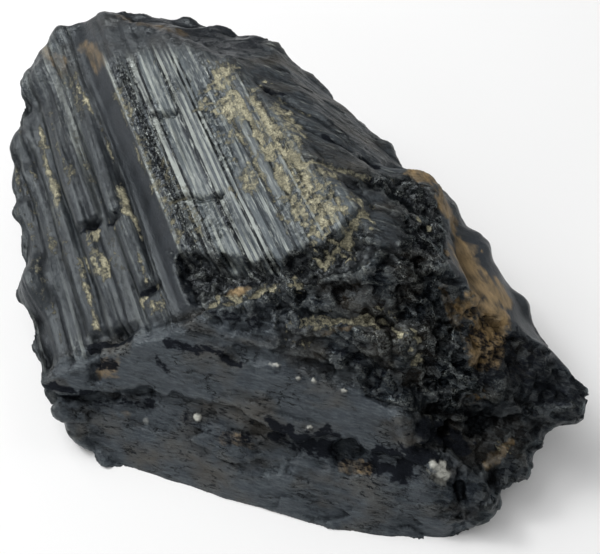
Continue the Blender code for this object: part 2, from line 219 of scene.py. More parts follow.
def on_face(points, name, reach=1.2):
    """1 on a face, fading to 0 at this depth under it."""
    normal, distance = PLANES[name]
    return 1.0 - ease(0.35 * reach, reach, distance - points @ normal)


def scatter(cells, seed):
    """A repeatable number from 0 to 1 for each whole-number cell."""
    mixed = np.sin(cells @ np.array([127.1, 311.7, 74.7][: cells.shape[1]]) + 17.3 * seed) * 43758.5453
    return mixed - np.floor(mixed)


def swell(points, size, seed):
    """Smooth hills and hollows from -1 to 1, this far apart."""
    place = points / size
    cell = np.floor(place)
    part = place - cell
    part = part * part * (3.0 - 2.0 * part)
    total = np.zeros(len(points))
    for corner in np.ndindex(*([2] * points.shape[1])):
        corner = np.array(corner)
        weight = np.prod(np.where(corner, part, 1.0 - part), axis=1)
        total += weight * scatter(cell + corner, seed)
    return 2.0 * total - 1.0


print("steps, faces and swells ready")

# %% Scoops and chips
def neighbours(points, size, seed):
    """For each scattered centre near the points: the way to it, its own tilt and its own level."""
    place = points / size
    cell = np.floor(place)
    for step in np.ndindex(3, 3, 3):
        near = cell + np.array(step) - 1
        centre = near + np.stack([scatter(near, seed + axis) for axis in range(3)], axis=1)
        tilt = np.stack([scatter(near, seed + 5 + axis) - 0.5 for axis in range(3)], axis=1)
        yield place - centre, tilt, scatter(near, seed + 9) - 0.5


def scoops(points, size, seed):
    """Shallow shell-like hollows that meet in sharp ridges, as glassy stone breaks: about -1 to 1."""
    lowest = np.full(len(points), 1e9)
    for away, tilt, level in neighbours(points, size, seed):
        bowl = 0.9 * np.einsum("ij,ij->i", away, away) + 0.9 * np.einsum("ij,ij->i", away, tilt)
        lowest = np.minimum(lowest, bowl + 0.4 * level)
    return 2.2 * lowest - 0.3


def chips(points, size, seed):
    """Flat broken chips: each point takes the tilt and level of its nearest scattered centre."""
    nearest = np.full(len(points), 1e9)
    height = np.zeros(len(points))
    for away, tilt, level in neighbours(points, size, seed):
        distance = np.einsum("ij,ij->i", away, away)
        closer = distance < nearest
        nearest = np.where(closer, distance, nearest)
        height = np.where(closer, 1.6 * np.einsum("ij,ij->i", away, tilt) + 0.7 * level, height)
    return height


print("scoops and chips ready")

# %% Ridges and lines
def tread(cell, along, seed):
    """The height of one tread, which rises and sinks slowly along the crystal."""
    stretch = along / 17.0 + 3.0 * scatter(cell[:, None], seed + 1)
    start = np.floor(stretch)
    first, second = (scatter(np.stack([cell, start + step], axis=1), seed + 2) for step in (0.0, 1.0))
    return 2.0 * (first + (second - first) * ease(0.0, 1.0, stretch - start)) - 1.0


def ridges(across, along, spacing, seed):
    """Growth ridges from -1 to 1: level treads with short steps that die out along the crystal."""
    place = across / spacing + 0.25 * swell(np.stack([along / 9.0, across / 20.0], axis=1), 1.0, seed)
    cell = np.floor(place)
    here, before = (tread(cell - back, along, seed) for back in (0.0, 1.0))
    return before + (here - before) * ease(0.0, 0.3, place - cell)


def along_path(points, path):
    """Distance in plan from a line of points, and which side: above 0 on the line's left."""
    plan = points[:, :2]
    nearest = np.full(len(points), 1e9)
    side = np.zeros(len(points))
    for start, end in zip(path[:-1], path[1:]):
        start, run = np.array(start), np.array(end) - np.array(start)
        part = np.clip((plan - start) @ run / (run @ run), 0.0, 1.0)
        away = plan - start - part[:, None] * run
        distance = np.hypot(away[:, 0], away[:, 1])
        closer = distance < nearest
        nearest = np.where(closer, distance, nearest)
        left = run[0] * (plan[:, 1] - start[1]) - run[1] * (plan[:, 0] - start[0])
        side = np.where(closer, np.sign(left), side)
    return nearest, side


print("ridges and lines ready")

# %% [markdown]
# ## The grown faces
#
# Schorl grows as a ribbed prism: level treads and short steps that run along the crystal and die out
# here and there. The ridges are terraces of random height rather than waves, because waves look like
# corduroy. A smooth strip climbs from the left slope to the plateau, wide grooves cut the left slope,
# and a few ridges of it break off short.

# %% Growth forms
# Face, how far apart its ridges are, their height.
RIDGED = (
    ("plateau", 1.3, 0.26),
    ("left_slope", 2.3, 0.20),
    ("left_side", 2.2, 0.45),
    ("left_foot", 2.2, 0.45),
    ("left_corner", 2.0, 0.40),
    ("flank_foot", 2.4, 0.40),
    ("back_foot", 2.2, 0.40),
)
# A groove's X, half its width, its depth.
GROOVES = (
    (-22.4, 0.4, 0.25),
    (-20.5, 0.5, 0.30),
    (-18.2, 0.5, 0.35),
    (-16.0, 0.4, 0.25),
    (-14.0, 0.4, 0.20),
    (-11.2, 0.4, 0.25),
)
# The hidden sides are knobbly as well as ridged.
KNOBBLY = ("left_side", "left_foot", "left_corner", "back_foot", "back_left")
KNOB_SIZE, KNOB_HEIGHT = 2.7, 0.75
# Both sides of the climbing strip in X, and how far it climbs.
STRIP_LEFT, STRIP_RIGHT, STRIP_RISE = -10.5, -8.1, 1.0
PLATEAU_LIP = 0.45
# Left and right side in X, the Y at which it breaks off, height.
SHORT_RIDGES = (
    (-17.9, -14.9, 5.2, 0.7),
    (-13.8, -12.0, 3.2, 0.6),
    (-13.6, -11.6, -7.6, 0.6),
)


def from_groove(points, place):
    """How far each point is to the right of a groove, which wanders a little."""
    return points[:, 0] - place - 0.25 * swell(points[:, 1:2] / 7.0, 1.0, int(-place))


def planed(points):
    """The left slope planed down from above, so that the strip climbs from it and its edges stay sharp."""
    upper = [PLANES[name] for name in ("plateau", "left_slope")]
    depths = np.stack([distance - points @ normal for normal, distance in upper])
    ways = np.stack([normal for normal, _ in upper])[depths.argmin(axis=0)]
    level = STRIP_RISE * (1.0 - ease(STRIP_LEFT, STRIP_RIGHT, points[:, 0]))
    return points - ways * np.maximum(level - depths.min(axis=0), 0.0)[:, None]


def prism_faces(points):
    """The grown faces: ridges along Y, the strip, the grooves and the ridges that stop short."""
    x, y = points[:, 0], points[:, 1]
    move = np.zeros(len(points))
    striped = 1.0 - ease(STRIP_LEFT - 0.4, STRIP_LEFT, x) * (1.0 - ease(STRIP_RIGHT, STRIP_RIGHT + 0.3, x))
    for seed, (name, spacing, height) in enumerate(RIDGED):
        normal, _ = PLANES[name]
        across = x * normal[2] - points[:, 2] * normal[0]
        move += on_face(points, name) * striped * height * ridges(across, y, spacing, 20 + seed)
    side = np.max([on_face(points, name, 2.4) for name in KNOBBLY], axis=0)
    move += side * KNOB_HEIGHT * swell(points, KNOB_SIZE, 31)
    top = np.maximum(on_face(points, "plateau"), on_face(points, "left_slope"))
    move += top * PLATEAU_LIP * ease(STRIP_RIGHT - 0.1, STRIP_RIGHT + 0.25, x)
    for place, half_width, depth in GROOVES:
        move -= top * depth * (1.0 - ease(0.3 * half_width, half_width, np.abs(from_groove(points, place))))
    for seed, (left, right, end, height) in enumerate(SHORT_RIDGES):
        across = ease(left - 0.3, left + 0.3, x) * (1.0 - ease(right - 0.3, right + 0.3, x))
        ragged = end + 0.5 * swell(points[:, :1] / 0.8, 1.0, 60 + seed)
        lasting = 1.0 - ease(end + 10.0, end + 22.0, y)
        move += top * height * across * lasting * ease(ragged - 0.2, ragged + 0.35, y)
    return move


print(len(RIDGED), "ridged faces,", len(GROOVES), "grooves,", len(SHORT_RIDGES), "short ridges")

# %% [markdown]
# ## The breaks
#
# Tourmaline has no good cleavage. It breaks like glass into shallow scoops with sharp ridges between
# them, and where the crystal was strained it crumbles into small flat chips. Scoops take the lowest
# of several bowls at each point; chips take the tilt of the nearest centre.

# %% Broken forms
# Face, size of its scoops, their depth.
BROKEN = (
    ("crest_front", 4.2, 0.45),
    ("toe_right", 5.0, 0.70),
    ("toe_end", 5.5, 0.80),
    ("back_bevel", 6.0, 0.50),
    ("back", 8.0, 0.90),
    ("back_right", 8.0, 0.90),
    ("back_side", 8.0, 0.80),
    ("back_corner", 7.0, 0.80),
    ("back_left", 7.0, 0.80),
    ("under_left", 8.0, 0.60),
    ("under_back_left", 8.0, 0.60),
    ("under_back", 8.0, 0.60),
    ("front", 9.0, 0.30),
    ("toe", 8.0, 0.40),
)
# The upper border of the smooth band, in plan: above it the break is hackly and lies lower.
BAND_TOP = ((-21.0, -8.0), (-15.4, -11.5), (-9.3, -14.4), (-4.2, -19.1), (1.4, -24.9), (6.8, -30.0),
            (11.0, -34.4))
HACKLE_DROP = 0.55
CHIP_SIZE, HACKLE_CHIPS = 2.3, 0.5


def broken_faces(points):
    """The fractures: chips on every broken face and the lower, hackly ground above the band."""
    move = np.zeros(len(points))
    for seed, (name, size, height) in enumerate(BROKEN):
        face = on_face(points, name)
        near = face > 0.0
        large = scoops(points[near], size, 100 + 20 * seed)
        small = scoops(points[near], 0.45 * size, 110 + 20 * seed)
        move[near] += face[near] * height * (large + 0.25 * small)
    falling = np.maximum(on_face(points, "front"), on_face(points, "crest_front"))
    reach, side = along_path(points, BAND_TOP)
    hackle = falling * ease(-0.3, 0.5, reach * side)
    move -= hackle * (HACKLE_DROP - HACKLE_CHIPS * chips(points, CHIP_SIZE, 500))
    return move


print(len(BROKEN), "broken faces")

# %% The end of the plateau
# The ragged edge where the plateau breaks off, in plan.
PLATEAU_END = (
    (-8.4, -6.0), (-5.6, -9.0), (-3.2, -11.6), (-1.2, -13.1), (0.4, -14.6),
    (2.6, -14.2), (5.2, -15.2), (7.8, -15.2), (10.5, -13.0),
)
PLATEAU_DROP, DROP_REACH, RAGGED_END = 2.1, 6.5, 0.8
FLOOR_LEFT, FLOOR_RIGHT = (-9.4, -8.2), (6.0, 12.0)
FLOOR_CHIPS = 0.6


def plateau_end(points):
    """The drop at the front end of the plateau and the crumbled floor below it."""
    reach, side = along_path(points, PLATEAU_END)
    inwards = RAGGED_END * swell(points[:, :1] / 0.8, 1.0, 49) - reach * side
    bed = ease(0.0, 0.5, inwards) * (1.0 - ease(2.8, DROP_REACH, inwards))
    width = ease(*FLOOR_LEFT, points[:, 0]) * (1.0 - ease(*FLOOR_RIGHT, points[:, 0]))
    upper = ease(11.0, 13.0, points[:, 2])
    return -bed * width * upper * (PLATEAU_DROP + FLOOR_CHIPS * chips(points, CHIP_SIZE, 520))


print("plateau ends over", len(PLATEAU_END), "points")

# %% Cracks, pits, lumps and the scooped flank
# The crack that runs in from the left corner, in plan.
LONG_CRACK = ((-27.5, -10.2), (-25.2, -11.7), (-22.0, -13.7), (-19.0, -15.3), (-15.4, -16.9))
# Line in plan, half width, depth.
CRACKS = (
    (LONG_CRACK, 0.50, 1.2),
    (((-6.6, -0.2), (-5.1, -0.8), (-3.9, -2.4), (-1.8, -3.4)), 0.45, 0.8),
    (((-5.0, 13.0), (-2.6, 11.0)), 0.5, 0.8),
    (((11.4, -35.6), (10.8, -37.6)), 0.45, 1.1),
)
# Ledges of the front and of the crest: the stone drops on the right of each line and rises again.
# Line in plan, how deep the drop is, over what reach it rises.
LEDGES = (
    (LONG_CRACK, 0.5, 2.2),
    (((-15.5, -17.0), (-12.6, -18.4), (-10.3, -19.8), (-7.3, -22.1), (-4.6, -25.2)), 1.0, 4.2),
    (((-4.8, -25.0), (-2.9, -27.0), (0.6, -28.6), (4.2, -31.5), (7.6, -33.8)), 1.1, 3.2),
    (((-6.2, -18.3), (-4.6, -19.1), (-2.3, -20.6), (0.4, -22.9), (3.2, -25.0)), 0.7, 1.7),
    (((-9.0, -15.4), (-6.8, -17.0), (-5.6, -18.1)), 0.4, 1.2),
    (((-2.5, -16.5), (-1.2, -18.1), (2.2, -20.6), (6.4, -22.6), (8.6, -24.5)), 0.9, 1.6),
    (((-0.5, -20.6), (2.0, -22.1), (4.7, -24.5), (7.4, -27.0)), 0.6, 1.5),
    (((8.9, -32.8), (12.1, -32.9), (15.3, -33.2), (22.2, -33.6)), 0.8, 2.2),
    (((5.6, -1.6), (7.6, -5.0), (10.7, -6.3), (13.5, -9.0), (15.2, -11.6)), 0.55, 1.8),
    (((7.6, 9.2), (9.6, 6.2), (11.9, 2.8), (13.4, -1.2), (15.2, -4.2)), 0.5, 1.8),
    (((8.8, 2.2), (10.4, -0.6), (12.8, -3.6), (14.6, -6.2)), 0.4, 1.2),
    (((8.4, -7.0), (10.2, -9.6), (11.9, -13.0), (13.6, -15.4)), 0.4, 1.4),
)
# Middle in plan, half length, half width, turn in degrees, depth.
PITS = (
    ((1.4, -30.6), 2.4, 1.2, -42.0, 1.5),
    ((-17.6, -10.4), 2.8, 1.2, -25.0, 1.3),
    ((-20.0, -11.4), 2.4, 1.0, 80.0, 0.8),
    ((-16.1, 4.6), 1.2, 0.6, 0.0, 0.5),
    ((-13.3, 3.0), 0.7, 0.5, 0.0, 0.4),
    ((-12.3, -8.2), 1.2, 0.6, 0.0, 0.5),
    ((10.6, -32.2), 3.0, 1.5, -25.0, 1.2),
    ((15.4, -33.2), 2.2, 1.2, -15.0, 1.0),
    ((15.0, -17.6), 1.3, 0.9, 60.0, 1.3),
    ((12.6, -20.8), 1.2, 0.9, 20.0, 1.2),
    ((-5.6, -11.4), 2.4, 1.2, -50.0, 0.9),
    ((7.9, 8.2), 1.6, 0.5, -30.0, 0.6),
    ((12.4, -2.8), 1.9, 0.8, -45.0, 1.0),
    ((14.2, -5.2), 1.3, 0.7, -45.0, 0.9),
)
# Middle in plan, radius, height.
LUMPS = (
    ((11.4, -22.8), 1.1, 0.8),
    ((9.0, -26.0), 1.3, 0.9),
    ((17.8, -31.6), 2.6, 0.8),
    ((18.6, -35.6), 2.4, 0.9),
    ((13.0, -39.2), 2.6, 0.8),
    ((22.0, -30.0), 2.4, 0.8),
    ((-8.0, -34.0), 3.0, 0.3),
    ((16.6, -12.0), 2.0, 0.7),
    ((16.2, -17.2), 1.8, 0.7),
    ((14.4, -23.6), 1.6, 0.7),
    ((14.8, -26.6), 1.6, 0.6),
    ((21.4, -14.0), 4.5, 1.1),
    ((23.0, -22.0), 4.0, 0.5),
    ((-12.4, 38.6), 2.2, 0.8),
    ((4.4, 30.4), 3.0, 0.6),
)
# The long hollow of the right flank: line in plan, half width, depth.
SCOOP = (((17.6, -5.4), (20.0, -9.6), (20.4, -15.6), (19.0, -21.0), (18.4, -26.8)), 1.9, 1.1)


def ledges(points):
    """The stepped, flaky front: sharp drops that rise gently again."""
    move = np.zeros(len(points))
    for path, depth, reach in LEDGES:
        away, side = along_path(points, path)
        below = 0.3 * swell(points, 1.3, 46) + 0.15 * swell(points, 0.5, 48) - away * side
        varied = 0.8 + 0.4 * swell(points, 3.0, 45)
        move -= depth * varied * ease(0.0, 0.4, below) * (1.0 - ease(0.3 * reach, reach, below))
    return move


def marks(points):
    """Cracks, pits, lumps and the scoop, each where the tables put it on the upper side."""
    move = ledges(points)
    for path, half_width, depth in CRACKS:
        reach, _ = along_path(points, path)
        ragged = reach + half_width * (0.5 * swell(points, 1.4, 41) + 0.3 * swell(points, 0.6, 42))
        move -= depth * (1.0 - ease(0.0, half_width, ragged))
    for centre, half_long, half_wide, turn, depth in PITS:
        angle = math.radians(turn)
        away = points[:, :2] - np.array(centre)
        lengthwise = (away[:, 0] * math.cos(angle) + away[:, 1] * math.sin(angle)) / half_long
        sideways = (away[:, 1] * math.cos(angle) - away[:, 0] * math.sin(angle)) / half_wide
        reach = np.hypot(lengthwise, sideways) + 0.45 * swell(points, 1.1, 43)
        inside = 1.0 - ease(0.2, 1.2, reach)
        move -= depth * inside * (1.0 + 0.5 * swell(points, 0.9, 44))
    for centre, radius, height in LUMPS:
        reach = np.hypot(points[:, 0] - centre[0], points[:, 1] - centre[1]) / radius
        move += height * (1.0 - ease(0.3, 1.1, reach + 0.2 * swell(points, 1.6, 47)))
    path, half_width, depth = SCOOP
    reach, _ = along_path(points, path)
    move -= depth * (1.0 - ease(0.1, 1.0, reach / half_width))
    return move * ease(0.3, 2.0, points[:, 2])


print(len(LEDGES), "ledges,", len(CRACKS), "cracks,", len(PITS), "pits,", len(LUMPS), "lumps")

# %% Broad bulges
# Middle, radius, height; a height below 0 is a hollow.
BULGES = (
    ((-8.0, 38.0, 16.0), 7.0, -0.5),
    ((-14.6, 40.4, 12.0), 3.4, -1.2),
    ((-3.6, 32.4, 17.9), 3.0, -0.4),
    ((3.6, 28.4, 17.4), 3.0, -0.4),
    ((9.3, 23.8, 17.4), 3.0, -0.4),
    ((-16.8, 33.5, 11.0), 5.0, 1.3),
    ((-18.6, 29.0, 9.6), 2.6, -0.5),
    ((-21.0, 24.0, 8.5), 3.4, 0.9),
    ((-22.8, 17.9, 7.3), 3.4, 1.0),
    ((-24.2, 1.6, 7.0), 4.4, 1.7),
    ((-25.0, -4.8, 6.2), 3.0, -0.5),
    ((-23.4, -12.8, 6.4), 4.5, 0.6),
    ((-24.6, -14.5, 2.5), 4.0, 1.2),
    ((3.0, -38.5, 0.8), 6.0, -0.7),
    ((11.2, -40.0, 1.5), 2.0, 0.7),
    ((13.4, -40.6, 4.5), 3.2, -2.5),
    ((17.2, -37.8, 3.7), 2.4, 1.5),
    ((20.2, -37.5, 6.2), 3.0, -2.5),
    ((24.2, -35.2, 7.6), 3.6, 2.7),
    ((22.5, -17.8, 14.9), 4.5, 1.0),
    ((19.2, -9.4, 16.8), 5.6, 2.9),
    ((16.8, 4.9, 16.5), 4.4, 0.4),
)


def bulges(points):
    """The broad swellings and hollows that keep the stone's faces and edges from being straight."""
    move = np.zeros(len(points))
    for centre, radius, height in BULGES:
        away = np.linalg.norm(points - np.array(centre), axis=1) / radius
        move += height * (1.0 - ease(0.1, 1.1, away))
    return move


print(len(BULGES), "bulges and hollows")

# %% Carve the large relief
# Slow waves over the whole stone: how far apart, how high.
WAVES = ((6.0, 0.18), (2.5, 0.08))
# The resting face keeps this much of its depth flat.
BED_SKIN = 0.3
points, normals = skin(stone)
upwards = ease(-0.45, -0.1, normals[:, 2])
move = prism_faces(points) + broken_faces(points) + plateau_end(points) + bulges(points)
move += upwards * marks(points)
for seed, (size, height) in enumerate(WAVES):
    move += height * swell(points, size, 11 + seed)
move *= 1.0 - on_face(points, "bed", BED_SKIN)
put_back(stone, planed(points) + normals * move[:, None])
with_modifier(stone, "REMESH", mode="VOXEL", voxel_size=SKIN_GRID)
print("large relief carved from", round(move.min(), 2), "to", round(move.max(), 2), "mm")

# %% [markdown]
# ## Where each kind of surface lies
#
# The fine relief and the finish differ from face to face. A point is told apart by which plane it is
# least deep under: that still holds after the large relief has moved it. Borders are blurred a
# little, and ragged ones get noise, because no zone of a real stone ends in a straight line.

# %% Zones
NAMES = list(PLANES)
NORMALS = np.array([PLANES[name][0] for name in NAMES])
DISTANCES = np.array([PLANES[name][1] for name in NAMES])
LEAF_DEGREES = -46.0
STRIKE_DEGREES = -37.0
STRIKE = looking(STRIKE_DEGREES, 0.0)
# Beyond this line in plan the tops of the grown faces are worn dull.
FAR_END = (
    (-30.0, 31.0), (-16.0, 30.0), (-8.5, 26.0), (-3.0, 22.5), (2.0, 18.0), (4.2, 13.0), (6.8, 8.2),
    (8.6, 5.5), (9.5, 3.0),
)
# The rugged crest ends towards the right along this line in plan.
RIM_EDGE = (
    (13.0, -5.5), (16.6, -7.6), (18.2, -10.5), (18.8, -13.1), (17.5, -17.0), (16.0, -20.0),
    (14.4, -22.9), (14.9, -26.5), (15.3, -29.0),
)
GROWN = ("left_side", "left_foot", "left_corner", "flank_foot", "back_foot")
BROKEN_SIDES = (
    "toe_end", "back", "back_right", "back_side", "back_corner", "back_left",
    "under_left", "under_back_left", "under_back",
)


def part_of(points, names, blur=0.8):
    """1 on the named faces, falling to 0 across their borders."""
    depth = DISTANCES - points @ NORMALS.T
    chosen = depth[:, [NAMES.index(name) for name in names]].min(axis=1)
    return 1.0 - ease(0.0, blur, chosen - depth.min(axis=1))


def stretched(points, direction, factor):
    """The points with their spread along one direction divided by a factor."""
    return points - np.outer((points @ direction) * (1.0 - 1.0 / factor), direction)


def stroke(points, path, half_width, ragged=0.5, grain=1.0):
    """1 along a line in plan, falling to 0 at its ragged edge."""
    reach, _ = along_path(points, path)
    reach = reach + ragged * half_width * swell(points, grain, 71) + 0.3 * half_width * swell(points, 0.4, 72)
    return 1.0 - ease(0.35 * half_width, half_width, reach)


def zones(points):
    """How much each point belongs to each kind of surface, from 0 to 1."""
    x, y = points[:, 0], points[:, 1]
    top = part_of(points, ("plateau", "left_slope"))
    in_strip = ease(STRIP_LEFT - 0.3, STRIP_LEFT, x) * (1.0 - ease(STRIP_RIGHT, STRIP_RIGHT + 0.2, x))
    end, side = along_path(points, PLATEAU_END)
    before_end = ease(-0.3, 0.3, -end * side + 0.4 * swell(points, 0.9, 73))
    near_end = 1.0 - ease(3.0, 6.0, end)
    far, beyond = along_path(points, FAR_END)
    fresh = 1.0 - ease(-1.5, 1.5, far * beyond + 1.6 * swell(points, 2.6, 86))
    plateau = top * ease(STRIP_RIGHT, STRIP_RIGHT + 0.2, x) * (1.0 - before_end * near_end) * fresh
    front = part_of(points, ("front", "toe", "crest_front"))
    floor = before_end * near_end * np.maximum(top, front) * ease(-9.6, -8.4, x)
    band, above = along_path(points, BAND_TOP)
    hackle = ease(-0.2, 0.5, band * above + 0.5 * swell(points, 1.2, 74))
    glassy = 1.0 - ease(-10.0, 4.0, x + 4.0 * swell(points, 4.0, 75))
    crumbly = stroke(points, ((-6.8, 21.0), (-6.9, 8.0), (-6.4, -2.0), (-7.0, -7.0)), 1.9)
    broken_ribs = ease(0.25, 0.55, swell(stretched(points, looking(90.0, 0.0), 2.0), 2.4, 80))
    away, side = along_path(points, RIM_EDGE)
    high = part_of(points, ("crest_right", "crest_front", "shoulder", "flank"))
    rim = high * (1.0 - ease(-0.3, 0.3, away * side + 0.5 * swell(points, 1.2, 78)))
    rim *= 1.0 - ease(-9.5, -7.5, y + 0.9 * swell(points, 2.0, 79))
    rim *= 1.0 - ease(4.0, 6.5, away)
    return {
        "strip": top * in_strip,
        "plateau": plateau,
        "slope": top * (1.0 - ease(STRIP_LEFT - 0.3, STRIP_LEFT, x)),
        "crumbly": plateau * np.maximum(crumbly, 0.8 * broken_ribs),
        "floor": floor,
        "shards": floor * (1.0 - ease(1.5, 3.8, end + 0.8 * swell(points, 1.5, 88))),
        "hackle": front * hackle * (1.0 - 0.8 * glassy),
        "band": front * (1.0 - hackle * (1.0 - glassy)),
        "crest": part_of(points, ("crest_right", "shoulder")) * (1.0 - rim),
        "rim": rim,
        "far": top * (1.0 - fresh),
        "toe": part_of(points, ("toe_right", "toe_end")),
        "bevel": part_of(points, ("back_bevel", "tip_edge")),
        "flank": part_of(points, ("flank",)) * (1.0 - rim),
        "grown": part_of(points, GROWN),
        "broken": part_of(points, BROKEN_SIDES),
    }


# %% [markdown]
# ## The fine relief
#
# Close to, the plateau is combed with fine ribs, a crumbled band runs beside the strip, the broken
# end is a heap of tiny chips and the front is made of long thin flakes that all run one way. The
# flakes use the same scoops and chips as before, in a space that is squeezed along their direction.
# The far tip is worn round, and a few grains of white quartz still stick to the front.

# %% Ribs, crumbs and flakes
# How much of Z counts as width on a sloping face, and how much sooner fine ribs die out than wide ones.
SLOPE_SHARE, FINE_ALONG = 0.35, 1.6
# Zone, how far apart its fine ribs are, their height.
FINE_RIBS = (
    ("plateau", 0.9, 0.12), ("slope", 1.0, 0.07), ("grown", 1.1, 0.12), ("strip", 0.8, 0.02),
    ("flank", 1.3, 0.06),
)
# Zone, size of the chips, their height, how much they are drawn out along the strike.
FINE_CHIPS = (
    ("crumbly", 1.0, 0.24, 1.0), ("crumbly", 0.5, 0.12, 1.0),
    ("floor", 1.7, 0.48, 1.0), ("floor", 0.8, 0.18, 1.0),
    ("hackle", 3.6, 0.42, 2.2), ("hackle", 1.3, 0.07, 1.8), ("hackle", 0.6, 0.04, 1.0),
    ("rim", 1.8, 0.55, 1.0), ("rim", 0.8, 0.16, 1.0),
    ("toe", 2.8, 0.55, 1.6), ("toe", 1.3, 0.16, 1.0),
    ("bevel", 2.2, 0.16, 1.6), ("broken", 2.4, 0.16, 1.6), ("slope", 0.7, 0.04, 1.0),
)
# The far tip is worn round: its middle, how far that reaches, and the rounds of smoothing.
WORN_TIP = (-11.0, 39.0, 13.0)
WORN_TIP_REACH = (4.0, 9.0)
WEAR_ROUNDS = 40
# The thin leaves of the crest all run this way.
LEAF_WAY = looking(LEAF_DEGREES, 0.0)
# Grains and slivers of white quartz stuck to the stone: where in plan, radius across the strike, how
# much they are drawn out along it.
GRAINS = (
    ((9.4, -35.6), 0.70, 1.0), ((8.5, -35.1), 0.40, 1.0), ((-11.4, -20.6), 0.28, 1.3),
    ((-16.6, -17.9), 0.28, 1.2), ((-2.9, -21.4), 0.16, 3.4), ((0.2, -24.2), 0.20, 1.2),
    ((2.6, -26.4), 0.15, 2.6), ((-1.2, -23.4), 0.18, 1.3), ((-1.4, -27.0), 0.14, 1.8),
)
GRAIN_HEIGHT = 0.25


def grains(points):
    """1 on the small grains of quartz."""
    total = np.zeros(len(points))
    for centre, radius, drawn in GRAINS:
        offset = stretched(points[:, :2] - np.array(centre), STRIKE[:2], drawn)
        away = np.hypot(offset[:, 0], offset[:, 1]) / radius
        total = np.maximum(total, 1.0 - ease(0.7, 1.2, away + 0.5 * swell(points, 0.5, 87)))
    return total * ease(3.0, 6.0, points[:, 2])


def fine_relief(points):
    """The small forms, each in its own zone, in mm."""
    zone = zones(points)
    move = np.zeros(len(points))
    for seed, (name, spacing, height) in enumerate(FINE_RIBS):
        here = zone[name] > 0.01
        near = points[here]
        across = near[:, 0] + SLOPE_SHARE * near[:, 2]
        move[here] += zone[name][here] * height * ridges(across, FINE_ALONG * near[:, 1], spacing, 200 + seed)
    for seed, (name, size, height, drawn) in enumerate(FINE_CHIPS):
        here = zone[name] > 0.01
        near = stretched(points[here], STRIKE, drawn)
        move[here] += zone[name][here] * height * chips(near, size, 600 + 20 * seed)
    flakes = stretched(points, STRIKE, 5.0)
    move += zone["hackle"] * 0.10 * scoops(flakes, 1.6, 930)
    flaky = ease(-0.1, 0.35, swell(stretched(points, STRIKE, 2.0), 4.5, 77))
    here = zone["band"] > 0.01
    near = flakes[here]
    plates = 0.07 * scoops(near, 1.1, 940) + flaky[here] * (0.30 * chips(near, 1.3, 960))
    move[here] += zone["band"][here] * plates
    move += zone["rim"] * 0.35 * swell(points, 2.4, 82)
    move += GRAIN_HEIGHT * grains(points)
    leaves = stretched(points, LEAF_WAY, 5.0)
    move += zone["crest"] * (0.14 * scoops(leaves, 2.2, 950) + 0.10 * chips(leaves, 0.9, 955))
    return move * (1.0 - on_face(points, "bed", BED_SKIN))


def averaged(item, points, rounds):
    """The points, each drawn halfway to the middle of its neighbours this many times."""
    edges = np.empty(2 * len(item.data.edges), dtype=np.int64)
    item.data.edges.foreach_get("vertices", edges)
    first, second = edges.reshape(-1, 2).T
    shares = np.bincount(first, minlength=len(points)) + np.bincount(second, minlength=len(points))
    smooth = points
    for _ in range(rounds):
        total = np.stack([
            np.bincount(first, weights=smooth[second, axis], minlength=len(points))
            + np.bincount(second, weights=smooth[first, axis], minlength=len(points))
            for axis in range(3)
        ], axis=1)
        smooth = 0.5 * smooth + 0.5 * total / shares[:, None]
    return smooth


points, normals = skin(stone)
move = fine_relief(points)
points = points + normals * move[:, None]
at_tip = 1.0 - ease(*WORN_TIP_REACH, np.linalg.norm(points - np.array(WORN_TIP), axis=1))
points += at_tip[:, None] * (averaged(stone, points, WEAR_ROUNDS) - points)
put_back(stone, points)
print("fine relief from", round(move.min(), 2), "to", round(move.max(), 2), "mm")

# %% [markdown]
# ## Thinning the skin and setting it down
#
# The skin has more triangles than flat places need. Decimate takes them away where the surface is
# smooth and keeps them along ridges and chips. Then the underside is cut flat at the height of the
# floor, so the stone rests on its bed, and millimetres become metres.

# %% Thin, flatten and place
MOST_TRIANGLES = 194000


def flatten_bed(item):
    """Cuts the underside flat and triangulates it."""
    block = bmesh.new()
    block.from_mesh(item.data)
    whole = block.verts[:] + block.edges[:] + block.faces[:]
    cut = bmesh.ops.bisect_plane(
        block, geom=whole, dist=1e-3, plane_co=(0, 0, 0), plane_no=(0, 0, -1), clear_outer=True
    )
    rim = [piece for piece in cut["geom_cut"] if isinstance(piece, bmesh.types.BMEdge)]
    bmesh.ops.holes_fill(block, edges=rim)
    bmesh.ops.triangulate(block, faces=block.faces[:])
    block.to_mesh(item.data)
    block.free()


with_modifier(stone, "TRIANGULATE")
if len(stone.data.polygons) > MOST_TRIANGLES:
    with_modifier(stone, "DECIMATE", ratio=MOST_TRIANGLES / len(stone.data.polygons))
flatten_bed(stone)
print("stone:", len(stone.data.polygons), "triangles")

# %% [markdown]
# ## Hollows and edges
#
# Dust stays in hollows, and edges catch the light; the colour is also painted darker in hollows as
# painted shade, and paler on edges as a painted highlight. How hollow a point is can be measured by
# smoothing the surface: where the smoothed surface lies outside the real one, the point is in a
# hollow. Averaging each point with its neighbours a few times is all the smoothing this needs.

# %% Measure hollows
# Rounds of smoothing, and the depth in mm that counts as fully hollow.
SMALL_HOLLOWS, WIDE_HOLLOWS = (10, 0.12), (60, 0.45)


def hollowness(item, rounds, reach):
    """From -1 on a sharp edge to 1 in a hollow that is this deep, in mm."""
    points, normals = skin(item)
    outwards = np.einsum("ij,ij->i", averaged(item, points, rounds) - points, normals)
    return np.clip(outwards / reach, -1.0, 1.0)


small_hollows = hollowness(stone, *SMALL_HOLLOWS)
wide_hollows = hollowness(stone, *WIDE_HOLLOWS)
print("hollow points:", int((small_hollows > 0.3).sum()), "sharp points:", int((small_hollows < -0.3).sum()))
